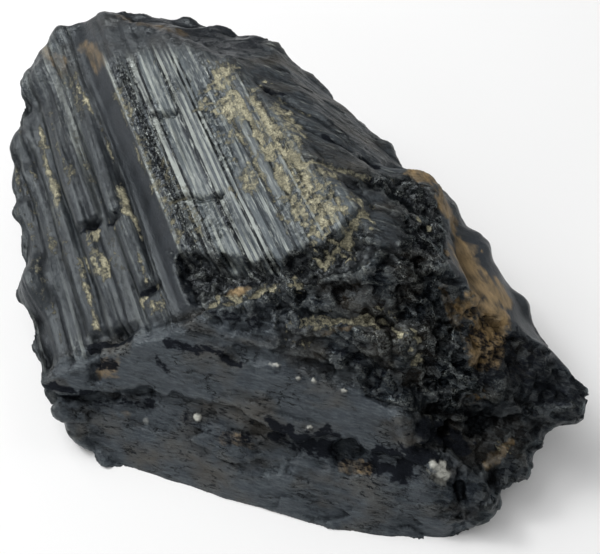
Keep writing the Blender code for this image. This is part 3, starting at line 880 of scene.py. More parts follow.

# %% [markdown]
# ## Dust, stain and shade
#
# Cream dust lies in streaks along the grooves and in smears on the plateau, and iron has stained a
# hollow on the right. The deepest cracks and notches are painted nearly black: painted shade, where no light
# gets in.
# Each smear is a short line drawn in plan with a width and a strength, because that is how dust is
# rubbed in. Its edge is broken by noise and it is thicker in hollows, as real dust is.

# %% Dust
# Line in plan, half width, strength.
DUST = (
    (((-16.4, 3.4), (-16.4, 0.5), (-16.0, -3.0)), 1.3, 1.00),
    (((-13.1, 2.2), (-12.9, 1.2)), 0.7, 1.00),
    (((-12.9, -8.9), (-12.0, -10.0)), 1.1, 1.00),
    (((-6.6, -13.6), (-4.0, -14.6), (-1.0, -15.4), (1.6, -16.6)), 1.1, 0.80),
    (((-2.2, -19.6), (0.8, -21.4)), 0.6, 0.50),
    (((-7.9, 20.0), (-7.6, -5.0)), 1.1, 0.75),
    (((-5.9, 6.0), (-5.6, -6.0)), 1.0, 0.60),
    (((2.2, 6.4), (3.9, 5.6), (5.9, 4.2), (7.4, 1.0)), 2.0, 1.00),
    (((6.9, 1.0), (6.3, -1.8), (5.9, -5.5)), 1.9, 0.85),
    (((1.0, -3.6), (3.0, -4.6), (5.2, -7.4), (6.2, -10.2), (6.4, -15.2)), 2.3, 0.95),
    (((6.0, -11.6), (7.2, -14.2)), 2.0, 1.00),
    (((3.0, 11.0), (5.0, 2.0), (5.4, -6.0), (6.2, -13.0)), 4.6, 0.97),
    (((9.0, -24.9), (9.8, -26.4)), 1.0, 1.00),
    (((15.3, -15.4), (15.9, -16.4)), 0.7, 0.80),
    (((0.6, 12.0), (2.6, 2.0), (2.4, -12.0)), 1.2, 0.55),
    (((-2.6, 21.0), (1.0, 18.0)), 0.5, 0.35),
    (((-5.2, -14.7), (-3.5, -15.3), (-1.9, -16.0)), 0.7, 0.55),
    (((-0.6, -19.3), (4.7, -21.6), (7.1, -23.4)), 0.7, 0.70),
    (((8.5, -25.4), (9.3, -26.2), (10.0, -26.9)), 1.0, 0.95),
    (((8.3, -6.3), (8.6, -6.5)), 0.5, 1.00),
    (((9.4, 8.0), (13.0, 7.8), (15.8, 6.4)), 0.4, 0.40),
    (((9.3, 3.1), (12.2, -1.1)), 0.35, 0.40),
    (((12.2, -1.1), (17.6, -5.6)), 0.35, 0.45),
    (((7.0, -4.1), (11.1, -6.4), (15.7, -9.1)), 0.35, 0.45),
    (((16.6, -35.0), (17.6, -36.2)), 0.9, 0.55),
    (((6.6, -22.4), (8.2, -23.0), (9.0, -24.0)), 0.8, 0.60),
    (((6.0, 11.0), (10.5, 3.0)), 0.6, 0.45),
    (((6.8, -3.6), (9.5, -6.0), (12.5, -8.6)), 0.7, 0.55),
    (((9.4, -11.0), (11.5, -14.0)), 0.7, 0.50),
    (((-13.5, 31.0), (-12.0, 27.0)), 0.9, 0.50),
)
# Dust in the grooves of the left slope: the groove's X, its far and near end in Y, strength.
GROOVE_DUST = (
    (-23.4, 16.0, -2.0, 0.45), (-22.4, 26.0, -8.0, 0.60), (-21.4, 30.0, 10.0, 0.45),
    (-20.5, 31.0, 4.0, 0.75), (-19.3, 8.0, -9.0, 0.45), (-18.2, 31.0, -9.5, 0.90),
    (-17.0, 12.0, 0.0, 0.40), (-16.0, 28.0, 8.0, 0.75), (-14.6, 2.0, -9.0, 0.45),
    (-14.0, 22.0, -6.0, 0.50), (-12.6, 30.0, 16.0, 0.60), (-11.2, 31.0, -11.0, 1.00),
)
print(len(DUST), "smears and", len(GROOVE_DUST), "lines of dust")

# %% Stain and shade
# Iron stain, as for dust: pale ochre on the flank, brown on the front.
RUST = (
    (((18.6, -7.5), (20.0, -11.0), (20.2, -16.0), (19.2, -20.0)), 1.7, 0.75),
    (((19.0, -20.0), (19.6, -24.0), (17.2, -27.8)), 3.0, 1.00),
    (((18.8, -24.3), (18.4, -27.3)), 0.5, 1.00),
    (((-19.4, -12.6), (-17.8, -13.4)), 0.9, 0.45),
    (((-18.6, -16.4), (-17.9, -16.9)), 0.6, 0.80),
    (((-9.4, -23.6), (-7.0, -25.3)), 0.9, 0.35),
    (((1.2, -30.6), (3.0, -31.9)), 0.8, 0.90),
    (((-4.4, -13.6), (-2.9, -14.1)), 0.8, 0.60),
    (((2.4, -21.4), (4.6, -22.4)), 0.5, 0.30),
    (((14.3, -36.3), (17.4, -35.2)), 0.9, 0.35),
    (((14.2, -23.0), (15.0, -27.6)), 0.6, 0.30),
    (((-15.0, 37.0), (-13.0, 31.0)), 1.6, 0.35),
    (((-9.5, 33.0), (-8.5, 26.0)), 1.0, 0.40),
    (((-4.0, 33.0), (2.0, 25.0)), 1.6, 0.35),
)
# Painted shade where the light doesn't reach: in the long crack, the cavity, the notches and over the right
# end.
PAINTED_SHADE_STROKES = (
    (LONG_CRACK, 0.50, 1.00),
    (((-19.6, -10.0), (-17.5, -10.9), (-15.6, -11.9)), 0.8, 1.00),
    (((-19.7, -12.0), (-17.6, -13.5)), 0.5, 0.80),
    (((-16.4, -17.8), (-12.9, -20.6), (-9.8, -23.3), (-6.6, -25.9)), 1.3, 0.65),
    (((-12.3, -14.7), (-10.4, -16.1), (-8.2, -17.6), (-6.0, -19.6)), 0.5, 0.85),
    (((-13.6, -15.3), (-13.0, -16.5)), 0.4, 0.80),
    (((-17.2, -20.2), (-14.3, -22.0), (-13.2, -23.0)), 0.5, 0.85),
    (((-15.4, -22.2), (-12.8, -23.9)), 0.35, 0.80),
    (((-4.8, -25.0), (-2.9, -27.0), (0.6, -28.9)), 0.7, 0.90),
    (((-0.4, -28.4), (2.0, -31.0), (5.6, -33.3), (9.0, -34.5)), 1.2, 1.00),
    (((8.6, -32.0), (11.2, -32.4), (12.9, -33.9)), 1.3, 0.90),
    (((-3.0, -30.0), (2.0, -34.0), (5.0, -36.5)), 0.4, 0.60),
    (((-7.5, -14.6), (-4.6, -17.0), (-2.4, -17.8)), 0.6, 0.60),
    (((-7.0, -9.6), (-4.0, -12.8), (-0.5, -15.0)), 0.6, 0.45),
    (((-16.9, 4.4), (-15.3, 4.3)), 0.45, 0.90),
    (((-13.9, 3.1), (-12.9, 3.0)), 0.35, 0.80),
    (((-13.0, -7.9), (-11.5, -8.1)), 0.40, 0.90),
    (((10.8, -1.6), (12.8, -3.8), (14.8, -5.8)), 0.7, 0.80),
    (((7.2, 8.8), (9.0, 7.4)), 0.6, 0.80),
    (((12.6, 1.6), (14.0, -1.0)), 0.5, 0.70),
    (((16.5, -28.0), (20.5, -30.5), (24.5, -34.0)), 3.2, 0.60),
)
print(len(RUST), "stains and", len(PAINTED_SHADE_STROKES), "notches")

# %% [markdown]
# ## From marks to masks
#
# A finish that differs from place to place needs masks: one number from 0 to 1 at each point of the
# mesh. They could be painted by hand, but here each is worked out from the strokes, the zones and the
# hollows, so it follows the stone whenever a form is changed.

# %% Dust on the points
def smears(points, table, grain):
    """All the strokes of a table together, the strongest at each point."""
    total = np.zeros(len(points))
    for path, half_width, strength in table:
        total = np.maximum(total, strength * stroke(points, path, half_width, 0.6, grain))
    return total * ease(3.0, 6.0, points[:, 2])


points, normals = skin(stone)
zone = zones(points)
facing_up = ease(0.0, 0.5, normals[:, 2])
in_grooves = np.zeros(len(points))
along_y = stretched(points, looking(90.0, 0.0), 5.0)
patchy = ease(-0.5, 0.3, swell(along_y, 0.9, 81))
for place, far_end, near_end, strength in GROOVE_DUST:
    line = 1.0 - ease(0.1, 1.1, np.abs(from_groove(points, place) + 0.3) + 0.3 * swell(points, 0.6, 84))
    reach = ease(near_end - 1.0, near_end + 1.0, points[:, 1])
    reach = reach * (1.0 - ease(far_end - 3.0, far_end, points[:, 1]))
    in_grooves = np.maximum(in_grooves, 0.85 * strength * line * reach * patchy)
dust = np.clip(smears(points, DUST, 1.6) * (0.75 + 0.5 * small_hollows), 0.0, 1.0)
dust = np.maximum(dust, zone["slope"] * in_grooves)
silvery = ease(-0.1, 0.5, swell(along_y, 2.4, 83))
print("dusty points:", int((dust > 0.5).sum()))

# %% Masks
def strongest(**shares):
    """The largest of the named zones at each point, each with its own share."""
    return np.maximum.reduce([share * zone[name] for name, share in shares.items()])


hollow = np.clip(np.maximum(small_hollows, wide_hollows), 0.0, 1.0)
masks = {
    "dust": dust * facing_up,
    "rust": smears(points, RUST, 2.2),
    # Painted shade in the cracks, the cavity and the notches.
    "soot": smears(points, PAINTED_SHADE_STROKES, 0.9),
    "ribs": strongest(plateau=1.0, slope=0.35 + 0.4 * silvery, grown=0.6, strip=0.08),
    "rough": strongest(
        crumbly=0.8, shards=0.6, floor=0.4, hackle=0.15, rim=0.6, toe=0.25, bevel=0.25, broken=0.4,
        slope=0.2 * silvery, plateau=0.1,
    ),
    "dull": strongest(crumbly=0.10, floor=0.45, hackle=1.0, rim=0.9, toe=0.9, grown=0.45, bevel=0.2),
    "glitter": strongest(
        crumbly=1.0, shards=1.0, floor=0.8, hackle=0.75, rim=0.75, band=0.12, plateau=0.20,
        slope=0.12 * silvery, toe=0.20, crest=0.12,
    ),
    "satin": strongest(
        band=1.0, crest=0.35, strip=0.55, slope=0.45, plateau=0.9, broken=0.4, flank=0.5, grown=0.15,
        bevel=0.35, far=0.30,
    ),
    "flakes": strongest(band=1.0, hackle=0.6, crest=0.8, toe=0.4, far=0.3),
    # Where the rib lines get their painted sheen and slate bands.
    "silver": strongest(plateau=1.0, slope=0.10 + 0.36 * silvery, grown=0.15),
    "leaves": zone["crest"],
    "grains": grains(points),
    # The hollows also darken the colour in the material: painted shade.
    "hollow": hollow * (1.0 - 0.65 * zone["shards"]),
    # Edges are painted paler in the material: partly rubbed, partly a painted highlight.
    "edge": np.clip(-small_hollows, 0.0, 1.0),
}
for name, values in masks.items():
    layer = stone.data.attributes.new(name, "FLOAT", "POINT")
    layer.data.foreach_set("value", np.clip(values, 0.0, 1.0).astype(np.float32))
print("masks:", {name: round(float(values.mean()), 3) for name, values in masks.items()})

# %% [markdown]
# ## Back to metres
#
# Until now one unit was a millimetre, which keeps the numbers easy to read. Blender's unit is the
# metre. The dressed stone is also fitted to the box of its solid model, a change of less than a
# chip's height, so that the two can stand for each other.

# %% Place the stone
points = (points + np.array([*ORIGIN_SHIFT, 0.0])) * MM
lowest, highest = (np.array(corner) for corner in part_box(NODE))
spans = points.max(axis=0) - points.min(axis=0)
points = lowest + (points - points.min(axis=0)) * (highest - lowest) / spans
put_back(stone, points)
for polygon in stone.data.polygons:
    polygon.use_smooth = True
print("stone spans (m):", points.min(axis=0).round(4), points.max(axis=0).round(4))

# %% [markdown]
# ## Nodes without the mouse
#
# A material is a small network of nodes. A few helpers keep its cells short: one adds a node, one
# joins two sockets, and the others stand for the sums that a network needs most often.

# %% Node helpers
def add(tree, kind, **values):
    """A new node whose settings have these values."""
    made = tree.nodes.new(kind)
    for name, value in values.items():
        setattr(made, name, value)
    return made


def feed(tree, source, target):
    tree.links.new(source, target)


def give(tree, value, socket):
    """A plain number or colour set on a socket, or another socket joined to it."""
    if isinstance(value, (int, float, tuple)):
        socket.default_value = value
    else:
        feed(tree, value, socket)


def maths(tree, operation, *values):
    """One sum of sockets and plain numbers."""
    made = add(tree, "ShaderNodeMath", operation=operation)
    for socket, value in zip(made.inputs, values):
        give(tree, value, socket)
    return made.outputs[0]


def product(tree, *values):
    """All the values multiplied."""
    return functools.reduce(lambda first, second: maths(tree, "MULTIPLY", first, second), values)


def largest(tree, *values):
    """The largest of the values."""
    return functools.reduce(lambda first, second: maths(tree, "MAXIMUM", first, second), values)


print("sum helpers ready")

# %% Pattern and colour helpers
def noise(tree, place, size, turn=0.0, detail=3.0, roughness=0.55):
    """Noise whose waves are this many millimetres long in X, Y and Z, turned about Z in degrees."""
    spread = add(tree, "ShaderNodeMapping", vector_type="TEXTURE")
    spread.inputs["Rotation"].default_value[2] = math.radians(turn)
    spread.inputs["Scale"].default_value = [length * MM for length in size]
    made = add(tree, "ShaderNodeTexNoise")
    made.inputs["Scale"].default_value = 1.0
    made.inputs["Detail"].default_value = detail
    made.inputs["Roughness"].default_value = roughness
    feed(tree, place, spread.inputs["Vector"])
    feed(tree, spread.outputs["Vector"], made.inputs["Vector"])
    return made.outputs["Fac"]


def steps(tree, value, *stops):
    """A value turned into another by a ramp of two (place, brightness) stops."""
    ramp = add(tree, "ShaderNodeValToRGB")
    for element, (place, level) in zip(ramp.color_ramp.elements, stops):
        element.position, element.color = place, (level, level, level, 1.0)
    feed(tree, value, ramp.inputs["Fac"])
    return ramp.outputs["Color"]


def mixed(tree, factor, first, second, blend="MIX"):
    """Two colours mixed; each may be a socket or four numbers."""
    made = add(tree, "ShaderNodeMix", data_type="RGBA", blend_type=blend)
    give(tree, factor, made.inputs["Factor"])
    give(tree, first, made.inputs[6])
    give(tree, second, made.inputs[7])
    return made.outputs[2]


def painted(tree, body, layers):
    """A colour with layers laid over it in turn: each has its cover from 0 to 1 and its colour."""
    for cover, colour in layers:
        body = mixed(tree, cover, body, colour)
    return body


def bump(tree, height, distance_mm, normal):
    """A bump this many millimetres high, on top of an earlier one if there is one."""
    made = add(tree, "ShaderNodeBump")
    made.inputs["Distance"].default_value = distance_mm * MM
    feed(tree, height, made.inputs["Height"])
    if normal is not None:
        feed(tree, normal, made.inputs["Normal"])
    return made.outputs["Normal"]


print("pattern helpers ready")

# %% [markdown]
# ## Broken crystal glitters
#
# A rough break is made of thousands of tiny flat facets, each tilted its own way, and the few that
# face the lamp flash. A Voronoi texture gives each cell of space a random colour. Read as a slope and
# multiplied by the distance from the cell's middle, that colour makes a height that is flat and
# tilted within each cell, which is what a facet is. The group is built once and placed with a
# different number of facets a millimetre for large, middling and fine chips.

# %% Glitter group
def new_group(name, density):
    """An empty node group with a place and a density in, and a height and a shade out."""
    group = bpy.data.node_groups.new(name, "ShaderNodeTree")
    group.interface.new_socket("Place", in_out="INPUT", socket_type="NodeSocketVector")
    group.interface.new_socket(density, in_out="INPUT", socket_type="NodeSocketFloat")
    group.interface.new_socket("Height", in_out="OUTPUT", socket_type="NodeSocketFloat")
    group.interface.new_socket("Shade", in_out="OUTPUT", socket_type="NodeSocketFloat")
    inside, outside = add(group, "NodeGroupInput"), add(group, "NodeGroupOutput")
    a_metre = product(group, inside.outputs[density], 1.0 / MM)
    return group, inside.outputs["Place"], a_metre, outside


def vector_sum(tree, operation, first, second):
    """A sum of two vectors."""
    made = add(tree, "ShaderNodeVectorMath", operation=operation)
    give(tree, first, made.inputs[0])
    give(tree, second, made.inputs[1])
    return made


def facet_group():
    """A node group: place in, the height of tilted facets and a random shade for each out."""
    group, place, density, outside = new_group("broken_facets", "Facets a millimetre")
    scaled = add(group, "ShaderNodeVectorMath", operation="SCALE")
    feed(group, place, scaled.inputs["Vector"])
    feed(group, density, scaled.inputs["Scale"])
    cells = add(group, "ShaderNodeTexVoronoi", feature="F1")
    cells.inputs["Scale"].default_value = 1.0
    feed(group, scaled.outputs["Vector"], cells.inputs["Vector"])
    away = vector_sum(group, "SUBTRACT", scaled.outputs["Vector"], cells.outputs["Position"])
    slope = vector_sum(group, "SUBTRACT", cells.outputs["Color"], (0.5, 0.5, 0.5))
    tilt = vector_sum(group, "DOT_PRODUCT", away.outputs["Vector"], slope.outputs["Vector"])
    shade = add(group, "ShaderNodeSeparateColor")
    feed(group, cells.outputs["Color"], shade.inputs["Color"])
    feed(group, tilt.outputs["Value"], outside.inputs["Height"])
    feed(group, shade.outputs["Red"], outside.inputs["Shade"])
    return group


FACETS = facet_group()
print("group:", FACETS.name)

# %% [markdown]
# ## Growth lines
#
# The ribs of a prism face are long flat facets side by side, some wide, some as fine as a hair. A
# Voronoi texture in one dimension makes exactly that: it cuts the width of the crystal into bands of
# uneven width, each with its own random colour. The colour gives the band its own tilt and shade, and
# a slow noise along the crystal lets bands begin and end.

# %% Growth line group
# How long the waves of the bands are in X, Y and Z in mm, and how many bands they sway.
WANDER_SIZE, WANDER = (2.5, 16.0, 2.5), 1.6


def line_group():
    """A node group: place in, the height of tilted bands and a random shade for each out."""
    group, place, density, outside = new_group("growth_lines", "Lines a millimetre")
    split = add(group, "ShaderNodeSeparateXYZ")
    feed(group, place, split.inputs[0])
    across = maths(group, "MULTIPLY_ADD", split.outputs["Z"], SLOPE_SHARE, split.outputs["X"])
    wander = product(group, noise(group, place, WANDER_SIZE, detail=2.0), WANDER)
    band = maths(group, "ADD", product(group, across, density), wander)
    cells = add(group, "ShaderNodeTexVoronoi", voronoi_dimensions="1D", feature="F1")
    cells.inputs["Scale"].default_value = 1.0
    feed(group, band, cells.inputs["W"])
    shades = add(group, "ShaderNodeSeparateColor")
    feed(group, cells.outputs["Color"], shades.inputs["Color"])
    away = maths(group, "SUBTRACT", band, cells.outputs["W"])
    tilt = product(group, away, maths(group, "SUBTRACT", shades.outputs["Green"], 0.5))
    feed(group, tilt, outside.inputs["Height"])
    feed(group, shades.outputs["Red"], outside.inputs["Shade"])
    return group


LINES = line_group()
print("group:", LINES.name)

# %% [markdown]
# ## The patterns of the stone
#
# Every part of the finish reads the same few patterns, so they are made once and kept by name. A noise
# that is drawn out along the strike looks like flakes, one drawn out along Y looks like ribs, and an
# even one looks like grain or dust. The masks of the mesh are read here too.

# %% Noises, facets and lines
# Name, length of the waves in X, Y and Z in mm, turn about Z in degrees, detail, roughness.
NOISES = (
    ("cloudy", (3.0, 3.0, 3.0), 0.0, 4.0, 0.55),
    ("broad", (6.0, 4.0, 4.0), STRIKE_DEGREES, 3.0, 0.55),
    ("patchy", (2.6, 1.6, 1.6), STRIKE_DEGREES, 4.0, 0.55),
    ("leafy", (3.2, 0.9, 0.9), STRIKE_DEGREES, 4.0, 0.55),
    ("flecky", (1.3, 0.32, 0.32), STRIKE_DEGREES, 3.0, 0.60),
    ("streaky", (1.2, 0.24, 0.24), STRIKE_DEGREES, 5.0, 0.75),
    ("wisps", (6.0, 0.45, 0.45), LEAF_DEGREES, 4.0, 0.65),
    ("lasting", (0.7, 6.0, 0.7), 0.0, 2.0, 0.55),
    ("strands", (0.25, 2.4, 0.25), 0.0, 4.0, 0.65),
    ("blotches", (0.8, 4.0, 0.8), 0.0, 6.0, 0.70),
    ("clumps", (0.6, 0.9, 0.6), 0.0, 6.0, 0.80),
    ("tooth", (0.40, 0.75, 0.40), 0.0, 5.0, 0.70),
    ("sandy", (0.16, 0.16, 0.16), 0.0, 3.0, 0.55),
)
# Name, node group, how many cells a millimetre.
CELLS = (
    ("wide", LINES, 0.9), ("hair", LINES, 3.0),
    ("coarse", FACETS, 1.3), ("medium", FACETS, 2.8), ("fine", FACETS, 5.5),
)


def patterns(tree):
    """The stone's masks and patterns, each under its name."""
    place = add(tree, "ShaderNodeTexCoord").outputs["Object"]
    found = {name: add(tree, "ShaderNodeAttribute", attribute_name=name).outputs["Fac"] for name in masks}
    for name, size, turn, detail, roughness in NOISES:
        found[name] = noise(tree, place, size, turn, detail, roughness)
    for name, group, density in CELLS:
        made = add(tree, "ShaderNodeGroup", node_tree=group)
        made.inputs[1].default_value = density
        feed(tree, place, made.inputs["Place"])
        found[name + "_height"], found[name + "_shade"] = made.outputs["Height"], made.outputs["Shade"]
    return types.SimpleNamespace(**found)


print(len(NOISES), "noises and", len(CELLS), "sets of cells")

# %% [markdown]
# ## The bare stone
#
# Fresh schorl is black with a glassy shine, and its ribs look silvery only because they reflect the
# sky in long lines. So the colour is built up from black: satin slate on the smooth breaks, slate
# bands and pale hair lines on the ribs, the hair lines being a painted reflection of that sky, thin
# streaks, brown stains and black fissures on the flaky front. Each layer is a cover and a colour, laid
# over what came before.

# %% Layers of the bare stone
BLACK = (0.0045, 0.0054, 0.0075, 1.0)
SATIN = (0.022, 0.028, 0.038, 1.0)
SLATE = (0.058, 0.071, 0.080, 1.0)
# Pale silver: painted sheen on rib lines and chips, also pale wisps, speckles and edges.
PALE_AND_SHEEN = (0.330, 0.355, 0.330, 1.0)
BROWN = (0.060, 0.045, 0.026, 1.0)


def ribbed(tree, maps):
    """The grown faces: slate bands, painted reflections as silver hair lines, black gaps, speckled strands.
    """
    banded = product(tree, steps(tree, maps.wide_shade, (0.20, 0.0), (0.85, 1.0)), maps.silver)
    # Silver hair lines: a painted reflection along the ribs.
    sheen_hairs = product(tree, steps(tree, maps.hair_shade, (0.52, 0.0), (0.84, 1.0)), maps.silver)
    sheen_hairs = product(tree, sheen_hairs, steps(tree, maps.lasting, (0.40, 0.15), (0.58, 1.0)))
    maps.gaps = product(tree, steps(tree, maps.hair_shade, (0.20, 1.0), (0.28, 0.0)), maps.ribs)
    speckled = product(tree, steps(tree, maps.strands, (0.53, 0.0), (0.66, 0.7)), maps.silver)
    return (banded, SLATE), (sheen_hairs, PALE_AND_SHEEN), (product(tree, maps.gaps, 0.9), BLACK), (speckled, PALE_AND_SHEEN)


def flaky(tree, maps):
    """The flaky breaks: slate streaks, brown stains, pale wisps and black fissures."""
    mottled = product(tree, steps(tree, maps.streaky, (0.44, 0.0), (0.64, 0.9)), maps.flakes)
    stains = product(tree, steps(tree, maps.broad, (0.48, 0.0), (0.68, 0.55)), maps.flakes)
    pale = product(tree, steps(tree, maps.wisps, (0.58, 0.0), (0.72, 0.6)), maps.leaves)
    spots = product(
        tree,
        steps(tree, maps.flecky, (0.34, 1.0), (0.42, 0.0)),
        steps(tree, maps.broad, (0.44, 0.0), (0.58, 1.0)),
    )
    centred = maths(tree, "ABSOLUTE", maths(tree, "SUBTRACT", maps.leafy, 0.5))
    thin = product(
        tree,
        steps(tree, centred, (0.006, 1.0), (0.018, 0.0)),
        steps(tree, maps.cloudy, (0.42, 1.0), (0.50, 0.0)),
    )
    maps.fissures = product(tree, largest(tree, spots, thin), maps.flakes)
    return (mottled, SLATE), (stains, BROWN), (pale, PALE_AND_SHEEN), (maps.fissures, BLACK)


print("bare stone: black, satin, slate, silver and brown")

# %% [markdown]
# ## Glints
#
# Where the crystal is crumbled, single chips catch the light, and that flash is painted into the
# colour: painted glints. The random shade of a facet cell, helped by the glitter mask, has to reach 1
# for the cell to be painted bright, so the same cells that tilt the surface also flash. Edges are
# painted a little paler too, partly as rubbed wear and partly as a painted highlight.

# %% Layers of painted light
# Painted glints: the colour of the brightest sparks.
GLINT = (0.860, 0.880, 0.800, 1.0)
CHIP_HELP, SPARK_HELP = 0.52, 0.42


def glints(tree, maps):
    """Painted glints as pale chips and bright sparks, and edges painted paler, rubbed and lit."""
    sparkling = product(tree, maps.glitter, steps(tree, maps.patchy, (0.42, 0.0), (0.60, 1.0)))
    # Cells painted bright where they flash: painted glints.
    maps.flecks, maps.sparks = (
        steps(tree, maths(tree, "MULTIPLY_ADD", sparkling, helped, shade), (1.0, 0.0), (1.0, 1.0))
        for helped, shade in ((CHIP_HELP, maps.medium_shade), (SPARK_HELP, maps.fine_shade))
    )
    maps.flecks = product(tree, maps.flecks, steps(tree, maps.tooth, (0.36, 0.0), (0.56, 1.0)))
    # Edges painted paler: partly rubbed wear, partly a painted highlight.
    worn_and_lit = product(tree, maps.edge, maths(tree, "MULTIPLY_ADD", maps.glitter, 0.35, 0.04))
    worn_and_lit = product(tree, worn_and_lit, steps(tree, maps.sandy, (0.45, 0.0), (0.62, 1.0)))
    return (maps.flecks, PALE_AND_SHEEN), (maps.sparks, GLINT), (worn_and_lit, PALE_AND_SHEEN)


print("glints: chips, sparks and edges")

# %% [markdown]
# ## What lies on the stone
#
# Rust, dust, the painted shade of the notches and the quartz grains come last, because they are laid
# over the stone's colour. The strokes on the mesh say where they are; a pattern frays each of them, so
# that dust ends in single clumps and not in a soft edge.

# %% Layers of dirt and painted shade
CREAM = (0.660, 0.615, 0.420, 1.0)
PALE_DUST = (0.250, 0.235, 0.165, 1.0)
OCHRE = (0.340, 0.235, 0.115, 1.0)
# Painted shade: the colour of the cracks and notches where no light gets in.
SHADE = (0.013, 0.015, 0.020, 1.0)
QUARTZ = (0.480, 0.480, 0.430, 1.0)
# How much the clumps fray the dust, and the flakes and the tooth the painted shade of the notches.
DUST_FRAY, FLAKE_FRAY, TOOTH_FRAY = 2.4, 1.5, 1.2


def frayed(tree, mask, pattern, by):
    """A mask made ragged by this much of a pattern."""
    return maths(tree, "MULTIPLY_ADD", maths(tree, "SUBTRACT", pattern, 0.5), by, mask)


def dirt_and_shade(tree, maps):
    """Rust, dust, the painted shade of the notches and quartz."""
    ragged = product(tree, maps.rust, maths(tree, "MULTIPLY_ADD", maps.blotches, 1.6, 0.1))
    rusty = steps(tree, ragged, (0.15, 0.0), (0.70, 0.95))
    rust_colour = mixed(tree, steps(tree, maps.blotches, (0.30, 0.0), (0.66, 1.0)), BROWN, OCHRE)
    maps.covered = steps(tree, frayed(tree, maps.dust, maps.clumps, DUST_FRAY), (0.46, 0.0), (0.86, 1.0))
    powder = mixed(tree, steps(tree, maps.sandy, (0.38, 0.0), (0.66, 1.0)), PALE_DUST, CREAM)
    # The painted shade of the notches, frayed by the flakes and the tooth.
    deep = frayed(tree, maps.soot, maps.flecky, FLAKE_FRAY)
    deep = frayed(tree, deep, maps.tooth, TOOTH_FRAY)
    maps.sooty = steps(tree, deep, (0.35, 0.0), (0.75, 0.95))
    return (rusty, rust_colour), (maps.covered, powder), (maps.sooty, SHADE), (maps.grains, QUARTZ)


print("dirt: rust, dust, depth and quartz")

# %% [markdown]
# ## Shine and relief
#
# Light that enters a crack doesn't come back, but a shader's bump can't know that, and its shine
# would still light the crack up. A black metal reflects nothing at all, so notches, gaps, hollows and
# facets that are turned away are made metallic. Chips are glossier than the skin, dust and rust
# are duller. The bumps go from the widest ribs to the finest grain, each on top of the last.

# %% Shine
# Roughness of the bare stone, how much its grain adds, and the roughest that anything gets.
BARE, GRAINY, ROUGHEST = 0.30, 0.20, 0.9


def unlit(tree, maps):
    """1 where the stone mirrors nothing, except under dust, glints and quartz."""
    turned = product(tree, steps(tree, maps.coarse_shade, (0.48, 1.0), (0.66, 0.0)), maps.dull)
    narrow = (product(tree, maps.fissures, 0.6), product(tree, maps.gaps, 0.6))
    dark = largest(tree, maps.sooty, turned, product(tree, maps.hollow, 0.7), *narrow)
    pale = largest(tree, maps.covered, maps.flecks, maps.sparks, maps.grains)
    return product(tree, dark, maths(tree, "SUBTRACT", 1.0, pale))


def dullness(tree, maps):
    """Low on chips, high under dust, in notches and on rust."""
    dull = maths(tree, "MULTIPLY_ADD", maps.sandy, GRAINY, BARE)
    for mask, share in ((maps.rough, -0.20), (maps.covered, 0.45), (maps.sooty, 0.35), (maps.rust, 0.25)):
        dull = maths(tree, "MULTIPLY_ADD", mask, share, dull)
    return maths(tree, "MINIMUM", dull, ROUGHEST)


print("shine ready")

# %% Relief
def relief(tree, maps):
    """The normal after all the bumps, each a height and how many millimetres it stands for."""
    normal = None
    for height, distance in (
        (product(tree, maps.wide_height, maps.ribs), 0.45),
        (product(tree, maps.hair_height, maps.ribs), 0.16),
        (product(tree, maps.leafy, maps.flakes), 0.22),
        (product(tree, maps.flecky, maps.flakes), 0.08),
        (maps.fissures, -0.12),
        (product(tree, maps.coarse_height, maps.rough), 0.60),
        (product(tree, maps.medium_height, maths(tree, "ADD", maps.rough, 0.06)), 0.20),
        (product(tree, maps.fine_height, maths(tree, "ADD", maps.glitter, 0.10)), 0.04),
        (maps.covered, 0.10),
        (product(tree, maps.wisps, maps.leaves), 0.18),
        (maps.tooth, 0.07),
        (maps.sandy, 0.025),
    ):
        normal = bump(tree, height, distance, normal)
    return normal


print("relief ready")

# %% Stone material
# The share of colour taken away in a hollow: painted shade.
HOLLOW_SHADE = 0.55


def stone_material():
    """All the layers, the shine and the relief in one shader."""
    material = bpy.data.materials.new("schorl_black")
    material.use_nodes = True
    tree = material.node_tree
    shader = tree.nodes["Principled BSDF"]
    maps = patterns(tree)
    clean = product(tree, maps.satin, steps(tree, maps.cloudy, (0.25, 0.55), (0.70, 1.0)))
    layers = ((clean, SATIN), *ribbed(tree, maps), *flaky(tree, maps), *glints(tree, maps), *dirt_and_shade(tree, maps))
    body = painted(tree, BLACK, layers)
    # Hollows are painted darker: painted shade.
    shadowed = maths(tree, "SUBTRACT", 1.0, product(tree, maps.hollow, HOLLOW_SHADE))
    feed(tree, mixed(tree, 1.0, body, shadowed, "MULTIPLY"), shader.inputs["Base Color"])
    feed(tree, unlit(tree, maps), shader.inputs["Metallic"])
    feed(tree, dullness(tree, maps), shader.inputs["Roughness"])
    feed(tree, relief(tree, maps), shader.inputs["Normal"])
    shader.inputs["Specular IOR Level"].default_value = 0.30
    shader.inputs["IOR"].default_value = 1.64
    shader.inputs["Specular Tint"].default_value = (0.90, 0.98, 1.0, 1.0)
    return material


stone.data.materials.clear()
stone.data.materials.append(stone_material())
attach(stone, "root")
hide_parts(NODE)
print("finish:", stone.data.materials[0].name)

# %% [markdown]
# ## Floor and light
#
# A black shiny stone shows its form only by what it reflects. A broad lamp behind it to the left and
# a small one beside it lie where the plateau mirrors them, a low one in front gives the smooth band
# its sheen, one on the right lights the flank, and one overhead softens all shadows. The floor is
# nearly white, so the underside isn't lost.

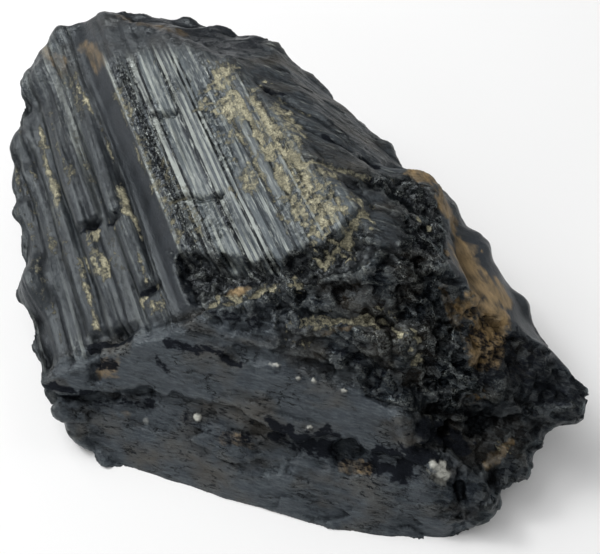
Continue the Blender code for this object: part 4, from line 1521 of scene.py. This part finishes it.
# %% Floor
FLOOR_SIDE = 1.2
PAPER, PAPER_ROUGHNESS = (0.93, 0.93, 0.93, 1.0), 0.9
ground = bmesh.new()
bmesh.ops.create_grid(ground, x_segments=1, y_segments=1, size=FLOOR_SIDE / 2)
floor = bpy.data.objects.new("floor", bpy.data.meshes.new("floor"))
ground.to_mesh(floor.data)
ground.free()
bpy.context.scene.collection.objects.link(floor)
paper = bpy.data.materials.new("pale_paper")
paper.use_nodes = True
paper.node_tree.nodes["Principled BSDF"].inputs["Base Color"].default_value = PAPER
paper.node_tree.nodes["Principled BSDF"].inputs["Roughness"].default_value = PAPER_ROUGHNESS
floor.data.materials.append(paper)
print("floor:", FLOOR_SIDE, "m square")

# %% Light
# Name, the way to the lamp, its distance and side in metres, its watts.
LAMPS = (
    ("sky_lamp", (-0.40, 0.50, 0.77), 0.45, 0.36, 1.45),
    ("window_lamp", (-0.40, 0.55, 0.74), 0.45, 0.10, 0.55),
    ("front_lamp", (-0.74, -0.65, 0.30), 0.40, 0.25, 0.38),
    ("ceiling_lamp", (-0.15, -0.10, 1.0), 0.60, 0.50, 0.6),
    ("right_lamp", (0.80, 0.10, 0.60), 0.50, 0.40, 0.45),
)
AIM = Vector((0.0, -5.0, 10.0)) * MM
ROOM_LIGHT = 0.15


def softbox(name, towards, distance, side, watts):
    """A square lamp that looks at the stone from this direction."""
    lamp = bpy.data.lights.new(name, "AREA")
    lamp.energy, lamp.size = watts, side
    item = bpy.data.objects.new(name, lamp)
    item.location = AIM + Vector(towards).normalized() * distance
    item.rotation_euler = Vector(towards).to_track_quat("Z", "Y").to_euler()
    bpy.context.scene.collection.objects.link(item)


for lamp in LAMPS:
    softbox(*lamp)
world = bpy.data.worlds.new("white_room")
world.use_nodes = True
world.node_tree.nodes["Background"].inputs["Color"].default_value = (1.0, 1.0, 1.0, 1.0)
world.node_tree.nodes["Background"].inputs["Strength"].default_value = ROOM_LIGHT
bpy.context.scene.world = world
bpy.context.scene.view_settings.view_transform = "Standard"
print("lamps:", [lamp[0] for lamp in LAMPS])
